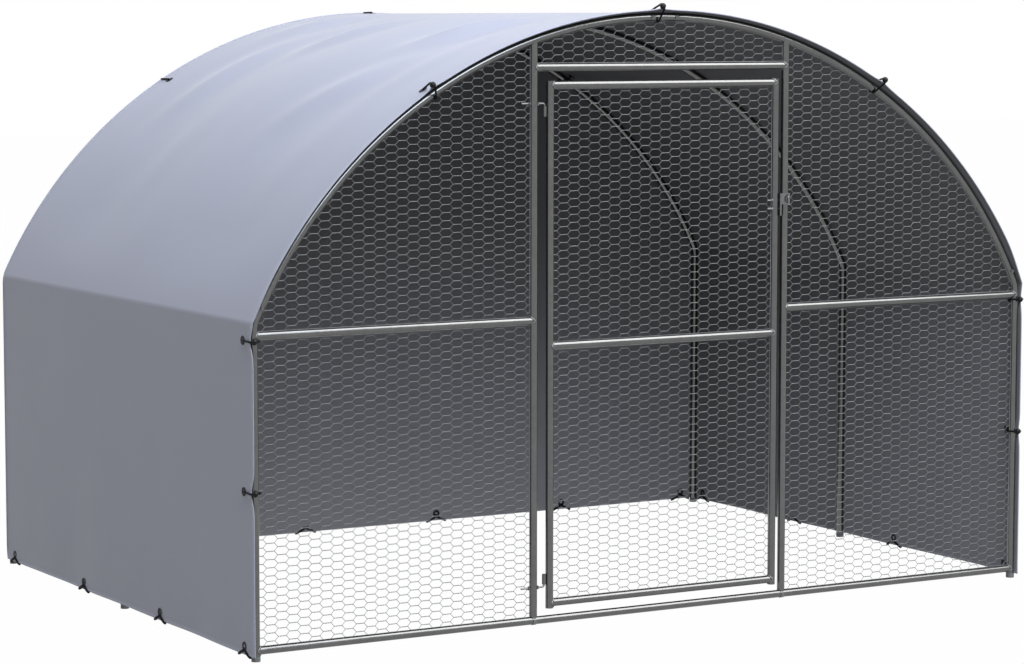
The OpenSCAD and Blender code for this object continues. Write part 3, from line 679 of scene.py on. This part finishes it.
# Soft roof folds: distance from the crest, depth, slant from the depth axis, length, width and
# height share; a wider dip lies under each ridge
FOLDS = [
    (-0.80, 0.62, 1.45, 0.28, 0.090, 0.95),
    (-0.32, 0.80, 1.40, 0.20, 0.085, 1.30),
    (-0.42, 0.24, 1.07, 0.20, 0.085, 1.75),
    (-1.20, 0.28, 1.40, 0.26, 0.110, 0.30),
    (-0.90, -0.36, 1.05, 0.24, 0.100, 0.90),
    (-0.38, -0.42, 1.15, 0.20, 0.090, 1.80),
    (-0.70, -0.70, 1.45, 0.26, 0.090, 0.35),
    (-1.25, -0.62, 1.35, 0.26, 0.110, 0.25),
    (0.45, 0.30, -1.20, 0.24, 0.090, 1.10),
    (0.90, 0.58, -1.50, 0.34, 0.095, 0.80),
    (0.40, -0.42, -1.25, 0.24, 0.090, 1.20),
    (1.00, -0.30, -1.15, 0.30, 0.100, 0.70),
    (1.20, -0.66, -1.40, 0.26, 0.110, 0.30),
]
DIP_DEPTH = 0.55
DIP_WIDTH = 2.2


def spaced(stops, steps):
    """Even steps between stops, shared out by length, with at least three between two stops."""
    stops = np.asarray(stops, float)
    lengths = np.diff(stops)
    counts = np.maximum(3, np.round(lengths / lengths.sum() * steps)).astype(int)
    runs = [np.linspace(a, b, n, endpoint=False) for a, b, n in zip(stops, stops[1:], counts)]
    return np.concatenate([*runs, stops[-1:]])


def bay_share(y):
    """Share of the way from one hoop to the next, from 0 to 1 in each bay."""
    return np.clip((y - HOOP_Y[0]) / (HOOP_Y[1] - HOOP_Y[0]), 0, 2) % 1.0


def waves(table, along, up):
    """Sum of a table's waves, each its share times sin(a along + b up + phase)."""
    return sum(share * np.sin(a * along + b * up + phase) for share, a, b, phase in table)


def roof_folds(run, y):
    """Sum of long soft ridges.

    Each is a Gaussian along its line, times a narrower one less a wider one across it.
    """
    place, depth, slant, length, width, height = np.array(FOLDS).T
    ds = run[..., None] - place
    dy = y[..., None] - depth
    along = dy * np.cos(slant) - ds * np.sin(slant)
    across = (dy * np.sin(slant) + ds * np.cos(slant)) / width
    ridge = np.exp(-across ** 2) - DIP_DEPTH * np.exp(-(across / DIP_WIDTH) ** 2)
    return np.sum(height * np.exp(-(along / length) ** 2) * ridge, -1)


def cloth_shell(name, middle_points, normals, thickness, uv, materials):
    """Closed shell of a sheet: both faces of a grid, half the thickness out along its normals."""
    rows, columns, _ = middle_points.shape
    half = (thickness / 2)[..., None] * normals
    points = np.concatenate([(middle_points + s * half).reshape(-1, 3) for s in (1, -1)])
    count = rows * columns
    outer = grid_faces(rows, columns)[:, ::-1]
    inner = outer[:, ::-1] + count
    index = np.arange(count).reshape(rows, columns)
    rim = np.concatenate([index[0, :], index[1:, -1], index[-1, -2::-1], index[-2:0:-1, 0]])
    after = np.roll(rim, -1)
    border = np.stack([rim, after, after + count, rim + count], -1)
    faces = np.concatenate([outer, inner, border])
    # Inner faces take the second finish; for the cover that is the darker inside with its painted
    # shade
    slots = np.concatenate([np.zeros(len(outer)), np.ones(len(inner)), np.zeros(len(border))])
    both = np.concatenate([uv.reshape(-1, 2)] * 2)
    return mesh_piece(name, points, faces, materials, "frame", both, slots)


def hem_thickness(distance, sizes):
    """Thickness near an edge: a rolled rope at the rim, a doubled hem, then the plain sheet."""
    rope = sizes.rope_radius
    roll = np.sqrt(np.maximum(rope ** 2 - (distance - rope) ** 2, 0))
    double = DOUBLE_HEM * smooth((sizes.hem_width - distance) / DOUBLE_HEM_FADE)
    return np.maximum(COVER_THICK + double, 2 * roll)


def grid_normals(points):
    """Unit normals of a grid from its two tangents."""
    down, across = np.gradient(points, axis=(0, 1))
    return unit(np.cross(down, across))


def lip_shape(run, low, hoop):
    """Reach and rise of the front edge.

    It is straight on the walls, flared on the arch and drawn to the cords at the ties.
    """
    sizes = settings().cover
    ties = []
    for kind, axis, out in tie_places():
        if kind == "arch":
            ties.append(hoop.crest + hoop.radius * math.asin(out[X]))
        else:
            ties.append(axis[Z] if axis[X] < 0 else hoop.marks[4] - axis[Z])
    tied = np.max(np.exp(-((run[..., None] - np.array(ties)) / TIE_DRAW) ** 2), -1)
    on_arch = smooth((low - hoop.marks[0] + WALL_TO_ARCH_LEAD) / WALL_TO_ARCH)
    wall_reach = sizes.wall_lip + tied * (WALL_LIP_SHARE * LIP_REACH - sizes.wall_lip)
    wall_rise = tied * WALL_LIP_SHARE * LIP_RISE
    arch_rise = sizes.lip_flare + tied * (LIP_RISE - sizes.lip_flare)
    reach = wall_reach + on_arch * (LIP_REACH - wall_reach)
    return reach, wall_rise + on_arch * (arch_rise - wall_rise)


def eave_crease(low, hoop):
    """Fold at the eave, where the wall and the roof run on straight until they meet.

    Over the bend it adds r / cos(h - |t|) - r, with t the turn from the bend's middle and h its
    half turn.
    """
    half = (math.pi / 2 - hoop.half) / 2
    turn = np.abs((low - hoop.marks[0]) / hoop.bend - half)
    return (hoop.bend + COVER_IN) * (1 / np.cos(np.maximum(half - turn, 0)) - 1)


def main_sheet(materials):
    """One sheet from the left hem over the roof to the right hem.

    Point = outline(run, n) at depth y, with n = cover offset + lip rise - sag + folds + wall
    waves + eave crease.
    """
    sizes = settings().cover
    hoop = Hoop()
    marks = hoop.marks
    rope = 2 * sizes.rope_radius
    bend_middle = (marks[0] + marks[1]) / 2
    edges = [HEM_Z, HEM_Z + rope, HEM_Z + sizes.hem_width, marks[0], bend_middle, marks[1]]
    mirror = [marks[4] - e for e in reversed(edges)]
    run = spaced(edges + mirror, sizes.steps_across)
    depth = spaced(
        [LIP_Y, LIP_Y + rope, *HOOP_Y, BACK_Y - COVER_THICK / 2], sizes.steps_deep)
    run, y = np.meshgrid(run, depth, indexing="ij")
    low = np.minimum(run, marks[4] - run)
    reach, rise = lip_shape(run, low, hoop)
    lip = np.clip((HOOP_Y[0] - y) / LIP_REACH, 0, 1)
    y = y + lip * (LIP_REACH - reach)
    from_hem = low - HEM_Z
    bay = np.sin(math.pi * bay_share(y)) ** 2
    on_wall = smooth((BEND_Z - low) / BEND_Z)
    on_roof = smooth((low - marks[1]) / EAVE_TO_FOLDS)
    off_ridge = 1 - np.exp(-((run - hoop.crest) / RIDGE_CALM) ** 2)
    folds = roof_folds(run - hoop.crest, y) * np.sqrt(bay)
    n = COVER_IN + COVER_THICK / 2 + rise * lip ** LIP_CURL
    n = n - sizes.sag * bay * on_roof * off_ridge
    n = n + sizes.fold_height * folds * on_roof * off_ridge
    n = n + WALL_WAVE * on_wall * waves(WALL_WAVES, y, low) * bay + eave_crease(low, hoop)
    inset = settings().tie.hem_inset
    tie_room = HOOP_Y[2] - HOOP_Y[0] - 2 * inset
    stations = (SIDE_HEM_TIES - 1) * (y - HOOP_Y[0] - inset) / tie_room
    lift = sizes.hem_rise * np.sin(math.pi * stations) ** 2 * np.exp(-from_hem / HEM_RISE_FADE)
    run = run + np.where(run < hoop.crest, lift, -lift)
    x, z = hoop.at(run, n)
    points = np.stack([x, y, z], -1)
    edge = np.minimum(from_hem, y - np.min(y, 1, keepdims=True))
    piece = cloth_shell(
        "cover_sheet", points, grid_normals(points), hem_thickness(edge, sizes),
        np.stack([run, y], -1), materials)
    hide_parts("cover_roof", "cover_left_wall", "cover_right_wall")
    return piece


def back_sheet(materials):
    """Back wall: a grid of shares of the height under the hoop's outline, with slow waves."""
    sizes = settings().cover
    hoop = Hoop()
    half = LEG_X + COVER_OUT
    rope = 2 * sizes.rope_radius
    x = half * np.sin(np.linspace(-math.pi / 2, math.pi / 2, BACK_COLUMNS))
    share = spaced([0, rope, sizes.hem_width, BACK_TOP_SHARE, 1.0], BACK_ROWS)
    x, share = np.meshgrid(x, share, indexing="ij")
    top = hoop.top(x, COVER_OUT)
    z = HEM_Z + share * (top - HEM_Z)
    calm_sides = np.sin(math.pi * np.clip((x + half) / (2 * half), 0, 1))
    calm = calm_sides * np.sin(math.pi * share) ** 0.5
    y = BACK_Y + BACK_WAVE * waves(BACK_WAVES, x, z) * calm
    points = np.stack([x, y, z], -1)
    normals = np.broadcast_to(np.array([0.0, 1.0, 0.0]), points.shape)
    thickness = hem_thickness(z - HEM_Z, sizes)
    piece = cloth_shell(
        "cover_back_sheet", points[:, ::-1], normals, thickness[:, ::-1],
        np.stack([x, z], -1)[:, ::-1], materials)
    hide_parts("cover_back_wall")
    columns = np.linspace(-half, half, AREA_COLUMNS)
    area = np.trapz(hoop.top(columns, COVER_OUT) - HEM_Z, columns)
    2 * half
    seam_welt(materials[:1])
    return piece


def seam_welt(materials):
    """Piping where the back is sewn to the main sheet: an open tube along the hoop's outline."""
    hoop = Hoop()
    run = spaced([HEM_Z, *hoop.marks[:4], hoop.marks[4] - HEM_Z], WELT_STEPS)
    x, z = hoop.at(run, np.full_like(run, COVER_OUT))
    path = np.stack([x, np.full_like(x, BACK_Y + COVER_THICK), z], -1)
    depth = np.array([0.0, 1.0, 0.0])
    out = np.cross(unit(np.gradient(path, axis=0)), depth)
    a = circle(WELT_SIDES)
    place = np.arange(len(run))
    taper = np.sqrt(np.clip(np.minimum(place, place[::-1]) / 2, WELT_END, 1))
    ring = np.cos(a)[None, :, None] * out[:, None] + np.sin(a)[None, :, None] * depth
    points = (path[:, None] + WELT_RADIUS * taper[:, None, None] * ring).reshape(-1, 3)
    uv = np.stack(np.broadcast_arrays(a[None] * WELT_RADIUS, run[:, None]), -1).reshape(-1, 2)
    faces = grid_faces(len(run), WELT_SIDES, False, True)
    piece = mesh_piece("cover_seam_welt", points, faces, materials, "frame", uv)
    return piece


# Elastic ties: cords are drawn thicker than their radius, and lengths are shares of it or of
# the tube's, the eave's or the hem loop's

CORD_SIDES = 12
PULLED_CORD = 1.25
SLACK_CORD = 1.6
LOW_TIE_SHARE = 0.52
UNDER_TUBE_SHARE = 0.7
BALL_REST_SHARE = 0.6
LOOP_STEPS = 40
LOOP_FALL = 1.7
LOOP_OUT = 0.17
LOOP_OUT_BELOW = 1.1
LOOP_OUT_ABOVE = 0.5
LOOP_SEAT = 1.3


def belt(corners, turn, steps=6):
    """Path of a cord pulled round corners that turn left: arcs joined by straight lines."""
    corners = np.asarray(corners, float)
    way = np.roll(corners, -1, 0) - corners
    facing = np.arctan2(way[:, 1], way[:, 0]) - math.pi / 2
    before = np.roll(facing, 1)
    sweep = (facing - before) % (2 * math.pi)
    angle = before[:, None] + sweep[:, None] * np.linspace(0, 1, steps)
    arcs = corners[:, None] + turn * np.stack([np.cos(angle), np.sin(angle)], -1)
    return arcs.reshape(-1, 2)


def tie_places():
    """Where ties cross a hoop: on a wall or the arch, the axis point and the outward direction."""
    hoop = Hoop()
    tie = settings().tie
    beside_ridge = (TUBE_R + 4 * tie.cord_radius) / hoop.radius
    under_eave = EAVE_Z - TUBE_R - tie.cord_radius - 2 * SEAT_GAP
    places = []
    for side in (-1, 1):
        for z in (LOW_TIE_SHARE * EAVE_Z, under_eave):
            places.append(("wall", np.array([side * LEG_X, 0, z]), np.array([side, 0, 0])))
    for angle in (-tie.arch_angle, -beside_ridge, tie.arch_angle):
        out = np.array([math.sin(angle), 0, math.cos(angle)])
        places.append(("arch", out * hoop.radius + [0, 0, hoop.arch_z], out))
    return places


def tie_corners():
    """Corners of the front and rear ties by kind.

    They are given as depth from the hoop and distance out from the tube axis. A cord comes
    through its eyelet, passes the cloth's edge, runs straight through its ball and goes under
    the tube.
    """
    tie = settings().tie
    turn = tie.cord_radius + SEAT_GAP
    ball = tie.ball_radius
    eye = tie.eyelet_back - tie.eyelet_hole
    mid = COVER_IN + COVER_THICK / 2
    flange = COVER_THICK / 2 + tie.eyelet_proud
    through = [(eye, mid - flange), (eye, mid + flange)]
    under = [(s * UNDER_TUBE_SHARE * TUBE_R, -TUBE_R) for s in (-1, 1)]
    lean = np.array([math.cos(tie.ball_lean), math.sin(tie.ball_lean)])
    run = ball * np.array([-lean[1], lean[0]])
    seat = np.array([-LIP_REACH, COVER_OUT + LIP_RISE]) + (ball + SEAT_GAP - turn) * lean
    arch = through + [tuple(seat - run), tuple(seat + run)] + under
    rest_out = BALL_REST_SHARE * TUBE_R
    rest = -math.sqrt((TUBE_R + ball + SEAT_GAP) ** 2 - rest_out ** 2) + turn
    edge = (-LIP_REACH * WALL_LIP_SHARE, COVER_OUT + LIP_RISE * WALL_LIP_SHARE)
    wall = through + [edge, (rest, rest_out + ball), (rest, rest_out - ball)] + under
    back = BACK_Y + COVER_THICK / 2 - HOOP_Y[2]
    face = -back - tie.eyelet_proud
    rear_ball = face - SEAT_GAP - ball + turn
    rear_end = [(rear_ball, ball), (rear_ball, -ball), (face, -TUBE_R), under[1]]
    rear = through + [(-back, COVER_OUT)] + rear_end
    return {"wall": wall, "arch": arch}, {"arch": rear}


def cord_piece(name, node, parts, material):
    """Joins cords into one piece that stands for a node of the frame."""
    points, faces, uv = join(parts)
    piece = mesh_piece(name, points, faces, [material], "frame", uv)
    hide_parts(node)
    return piece


def edge_ties(name, node, hoop_y, corners, facing, material):
    """Ties of one hoop: a belt at each place whose kind has corners, mirrored for the rear hoop."""
    tie = settings().tie
    depth = np.array([0.0, facing, 0.0])
    parts = []
    for kind, axis, out in [place for place in tie_places() if place[0] in corners]:
        path = belt(corners[kind], tie.cord_radius + SEAT_GAP)
        points = axis + [0, hoop_y, 0] + path[:, :1] * depth + path[:, 1:] * out
        radius = PULLED_CORD * tie.cord_radius
        parts.append(loop_tube(points, np.cross(depth, out), radius, CORD_SIDES))
    return cord_piece(name, node, parts, material)


def hem_stations():
    """Hem tie places: a point on the cloth above the hem and the direction out of the wall."""
    inset = settings().tie.hem_inset
    wall = LEG_X + COVER_IN + COVER_THICK / 2
    depths = np.linspace(HOOP_Y[0] + inset, HOOP_Y[2] - inset, SIDE_HEM_TIES)
    widths = np.linspace(inset - LEG_X, LEG_X - inset, BACK_HEM_TIES)
    sides = [((s * wall, y, 0), (s, 0, 0)) for s in (-1, 1) for y in depths]
    return sides + [((x, BACK_Y, 0), (0, 1, 0)) for x in widths]


def hem_loops(material):
    """Pairs of short slack loops through the hem eyelets, like an upturned Y.

    Round its turn p, a loop falls by a share of r times (1 - cos p), straight for the stem and
    then along its leaning way. It stands out by a share of r times sin p, more below than above.
    """
    tie = settings().tie
    cord = tie.cord_radius
    low, high = span("hem_ties", Z)
    radius = (high - low) / 2 - cord
    phi = circle(LOOP_STEPS)
    fall = LOOP_FALL * radius * (1 - np.cos(phi))
    spread = np.maximum(fall - tie.hem_stem, 0)
    out = LOOP_OUT * radius * np.sin(phi) * (LOOP_OUT_BELOW - LOOP_OUT_ABOVE * np.cos(phi))
    top = (high - cord - (tie.eyelet_hole - LOOP_SEAT * cord)) * UP
    drop = fall - (1 - math.cos(tie.hem_lean)) * spread
    parts = []
    for place, facing in hem_stations():
        facing = np.array(facing, float)
        along = np.cross(facing, UP)
        for side in (-1, 1):
            aside = side * (cord + math.sin(tie.hem_lean) * spread)
            points = np.array(place) + top + out[:, None] * facing + aside[:, None] * along
            points = points - drop[:, None] * UP
            way = math.sin(side * tie.hem_lean) * along - math.cos(tie.hem_lean) * UP
            parts.append(loop_tube(points, np.cross(facing, way), SLACK_CORD * cord, CORD_SIDES))
    return cord_piece("hem_tie_loops", "hem_ties", parts, material)


# Weld beads

BEAD_STEPS = 96
BEAD_STAND_OFF = 0.12


def weld_path(upright_x, side, height):
    """Line where a level tube meets an upright one of the same radius.

    Round the level tube, y = r cos a and z = r sin a. Sideways it is the root of (r sin a)
    squared and a small share of r squared, so that it keeps clear of the upright's middle.
    """
    a = circle(BEAD_STEPS)
    rim = TUBE_R + SEAT_GAP / 2
    x = upright_x + side * np.sqrt((rim * np.sin(a)) ** 2 + (BEAD_STAND_OFF * rim) ** 2)
    return np.stack([x, HOOP_Y[0] + rim * np.cos(a), height + rim * np.sin(a)], -1)


def weld_piece(name, joints, body, material):
    """Rippled beads round the ends of level tubes."""
    width = settings().run.weld_width
    points, faces, _ = join([
        loop_tube(
            weld_path(upright_x, side, height), (side, 0, 0), width, sides=8, ripple=0.18,
            ripples=30)
        for upright_x, side, height in joints])
    piece = mesh_piece(name, points, faces, [material], body)
    return piece


# Operators

class RUN_OT_netting(bpy.types.Operator):
    """Hexagonal netting in every bay of the front and the door."""

    bl_idname = "run.netting"
    bl_label = "Netting"

    def execute(self, context):
        tone = settings().colours.wire
        wire = galvanised_finish(
            "net_wire", shade(tone, 1.15), shade(tone, 0.8), roughness=0.40, metal=0.30)
        for side, start, end in (("left", -LEG_X, -POST_X), ("right", POST_X, LEG_X)):
            net_piece(f"{side}_lower_net", (start, FLOOR_BAR_Z), (end, EAVE_Z), "frame", wire)
            net_piece(f"{side}_upper_net", (start, EAVE_Z), (end, CREST_Z), "frame", wire)
        net_piece("transom_net", (-POST_X, HEADER_Z), (POST_X, CREST_Z), "frame", wire)
        for place, low, high in (("lower", *DOOR_Z[:2]), ("upper", *DOOR_Z[1:])):
            net_piece(f"door_{place}_net", (DOOR_X[0], low), (DOOR_X[1], high), "door", wire)
        return {"FINISHED"}


class RUN_OT_tarpaulin(bpy.types.Operator):
    """Tarpaulin over the roof, the sides and the back."""

    bl_idname = "run.tarpaulin"
    bl_label = "Tarpaulin"

    def execute(self, context):
        colours = settings().colours
        # The lift near the ground is painted light from the floor: none on the outside, a 1.6 lift
        # on the inside
        outside = cloth_finish(
            "tarpaulin_outside", tuple(colours.cover_outside), roughness=0.40, painted_floor_light=1.0, sheen=0.24)
        # The inside is a darker copy of the outside tarpaulin: painted shade inside the run
        inside = cloth_finish(
            "tarpaulin_inside_painted_shade", tuple(colours.cover_inside_painted_shade), roughness=0.68, painted_floor_light=1.6, sheen=0.0)
        main_sheet([outside, inside])
        back_sheet([outside, inside])
        return {"FINISHED"}


class RUN_OT_ties(bpy.types.Operator):
    """Elastic ties at the hoops and along the hem."""

    bl_idname = "run.ties"
    bl_label = "Ties"

    def execute(self, context):
        cord = braid_finish("elastic_cord", tuple(settings().colours.cord))
        front, rear = tie_corners()
        edge_ties("front_tie_cords", "front_ties", HOOP_Y[0], front, 1, cord)
        edge_ties("rear_tie_cords", "rear_ties", HOOP_Y[2], rear, -1, cord)
        hem_loops(cord)
        return {"FINISHED"}


class RUN_OT_welds(bpy.types.Operator):
    """Weld beads where the level tubes meet the uprights."""

    bl_idname = "run.welds"
    bl_label = "Weld beads"

    def execute(self, context):
        colours = settings().colours
        bead = galvanised_finish(
            "weld_bead", shade(colours.tube_light, 1.2), tuple(colours.tube_dark),
            roughness=0.24, metal=0.85)
        rows = (
            (LEG_X, -1, FLOOR_BAR_Z), (LEG_X, -1, EAVE_Z), (POST_X, 1, EAVE_Z),
            (POST_X, -1, HEADER_Z))
        front = [(s * x, s * way, z) for x, way, z in rows for s in (-1, 1)]
        weld_piece("front_weld_beads", front, "frame", bead)
        door = [(x, s, z) for z in DOOR_Z for x, s in zip(DOOR_X, (1, -1))]
        weld_piece("door_weld_beads", door, "door", bead)
        return {"FINISHED"}


FITTINGS = (
    "pintle_nuts", "upper_pintle", "lower_pintle", "hasp_pin", "hasp_bolts", "hasp_nuts",
    "hasp_staple", "hasp_leaf", "hasp_flap", "post_collars")


class RUN_OT_finishes(bpy.types.Operator):
    """Finishes of the frame's own tubes, fittings and trim."""

    bl_idname = "run.finishes"
    bl_label = "Finishes"

    def execute(self, context):
        colours = settings().colours
        tube = galvanised_finish(
            "galvanised_tube", tuple(colours.tube_light), tuple(colours.tube_dark),
            roughness=0.12, metal=0.90)
        zinc = galvanised_finish(
            "zinc_fitting", shade(colours.fitting, 1.1), shade(colours.fitting, 0.75),
            roughness=0.14, metal=0.85)
        ball = plastic_finish("tie_ball", shade(colours.plastic, 0.5), roughness=0.12, gloss=0.14)
        black = plastic_finish("black_trim", tuple(colours.plastic), roughness=0.4, gloss=0.08)
        foot = plastic_finish("foot_cap", tuple(colours.foot), roughness=0.5, gloss=0.4)
        chosen = dict.fromkeys(FITTINGS, zinc)
        chosen.update({"eyelets": black, "tie_balls": ball, "foot_caps": foot})
        for name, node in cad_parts.items():
            for slot in node.material_slots:
                slot.material = chosen.get(name, tube)
        return {"FINISHED"}


class RUN_OT_stage(bpy.types.Operator):
    """Pale floor, soft studio light, white surroundings and the camera."""

    bl_idname = "run.stage"
    bl_label = "Stage"

    def execute(self, context):
        add_camera()
        add_world()
        add_floor()
        for light in LIGHTS:
            add_light(*light)
        context.scene.view_settings.view_transform = "Standard"
        return {"FINISHED"}


# Camera: place in metres, turn in degrees and lens in millimetres on a 36 mm wide frame
CAMERA_PLACE = (-5.4777, -9.4730, 1.9261)
CAMERA_TURN = (84.351, -0.028, -30.142)
CAMERA_LENS = 110.468
SENSOR_WIDTH = 36.0
CLIP_END = 100.0

# Studio lights: name, place, target, width, depth, power and colour
LIGHTS = [
    ("front_key", (-0.5, -6.5, 6.8), (-0.5, -0.8, 1.2), 6.0, 6.0, 1000.0, (0.80, 0.88, 1.0)),
    ("bar_key", (4.0, -4.2, 6.4), (2.0, -1.0, 1.0), 4.0, 7.0, 560.0, (1.0, 1.0, 1.0)),
    ("overhead", (-1.6, 0.2, 8.0), (-0.8, 0.0, 1.5), 4.0, 4.0, 330.0, (0.80, 0.88, 1.0)),
]
SKY_STRENGTH = 0.62
# Shares of even white light in the floor, for what is seen and for what it throws back
FLOOR_GLOW = 0.99
FLOOR_LIFT = 0.12
FLOOR_GREY = 0.14
FLOOR_HALF = 40.0


def add_camera():
    """The photograph's viewing angle."""
    data = bpy.data.cameras.new("camera")
    data.lens = CAMERA_LENS
    data.sensor_width = SENSOR_WIDTH
    data.sensor_fit = "HORIZONTAL"
    data.clip_end = CLIP_END
    camera = new_object("camera", data)
    camera.location = CAMERA_PLACE
    camera.rotation_euler = [math.radians(angle) for angle in CAMERA_TURN]
    bpy.context.scene.camera = camera


def seen_rays(link):
    """1 for camera, glossy and transmission rays, 0 for light that falls on the object."""
    path = link.node("ShaderNodeLightPath").socket.node.outputs
    camera, glossy, through = [
        Link(link.tree, path[f"Is {name} Ray"]) for name in ("Camera", "Glossy", "Transmission")]
    return camera.math("MINIMUM", camera + glossy + through, 1.0)


def add_world():
    """White surroundings for what is seen, and a plain soft level for the light they give."""
    world = bpy.data.worlds.new("studio")
    world.use_nodes = True
    tree = world.node_tree
    background = tree.nodes["Background"]
    background.inputs["Color"].default_value = (1, 1, 1, 1)
    strength = seen_rays(Link(tree, None)) * (1 - SKY_STRENGTH) + SKY_STRENGTH
    tree.links.new(strength.socket, background.inputs["Strength"])
    bpy.context.scene.world = world


def add_floor():
    """A wide pale floor that keeps a faint shadow."""
    mesh = bpy.data.meshes.new("floor")
    corners = [(FLOOR_HALF * x, FLOOR_HALF * y, 0) for x, y in ((-1, -1), (1, -1), (1, 1), (-1, 1))]
    mesh.from_pydata(corners, [], [(0, 1, 2, 3)])
    floor = new_object("floor", mesh)
    material, shader, place = finish("floor")
    feed(shader, Base_Color=(FLOOR_GREY, FLOOR_GREY, FLOOR_GREY, 1.0), Roughness=0.9)
    tree = material.node_tree
    glow = place.node("ShaderNodeEmission", None, {"Color": (1, 1, 1, 1), "Strength": 1.0})
    share = seen_rays(place) * (FLOOR_GLOW - FLOOR_LIFT) + FLOOR_LIFT
    mixed = place.node(
        "ShaderNodeMixShader", None, {0: share, 1: Link(tree, shader.outputs[0]), 2: glow})
    tree.links.new(mixed.socket, tree.nodes["Material Output"].inputs["Surface"])
    mesh.materials.append(material)


def add_light(name, place, target, width, depth, power, tint):
    """A soft light panel that faces its target."""
    data = bpy.data.lights.new(name, "AREA")
    data.shape = "RECTANGLE"
    data.size = width
    data.size_y = depth
    data.energy = power
    data.color = tint
    light = new_object(name, data)
    light.location = place
    way = Vector(target) - Vector(place)
    light.rotation_euler = way.to_track_quat("-Z", "Y").to_euler()


class RUN_PT_dresser(bpy.types.Panel):
    """Lists the dresser's steps."""

    bl_idname = "RUN_PT_dresser"
    bl_label = "Chicken Run"
    bl_space_type = "VIEW_3D"
    bl_region_type = "UI"
    bl_category = "Run"

    def draw(self, context):
        for operator in OPERATORS:
            self.layout.operator(operator.bl_idname)


GROUPS = (RunSizes, NetSizes, CoverSizes, TieSizes, RunColours, RunSettings)
OPERATORS = (
    RUN_OT_stage, RUN_OT_finishes, RUN_OT_tarpaulin, RUN_OT_netting, RUN_OT_ties, RUN_OT_welds)


def register():
    for item in (*GROUPS, *OPERATORS, RUN_PT_dresser):
        bpy.utils.register_class(item)
    bpy.types.Scene.chicken_run = PointerProperty(type=RunSettings)


def unregister():
    del bpy.types.Scene.chicken_run
    for item in reversed((*GROUPS, *OPERATORS, RUN_PT_dresser)):
        bpy.utils.unregister_class(item)


def main():
    """Registers the add-on and dresses the run."""
    register()
    bpy.ops.run.stage()
    bpy.ops.run.finishes()
    bpy.ops.run.tarpaulin()
    bpy.ops.run.netting()
    bpy.ops.run.ties()
    bpy.ops.run.welds()


if __name__ == "__main__":
    main()
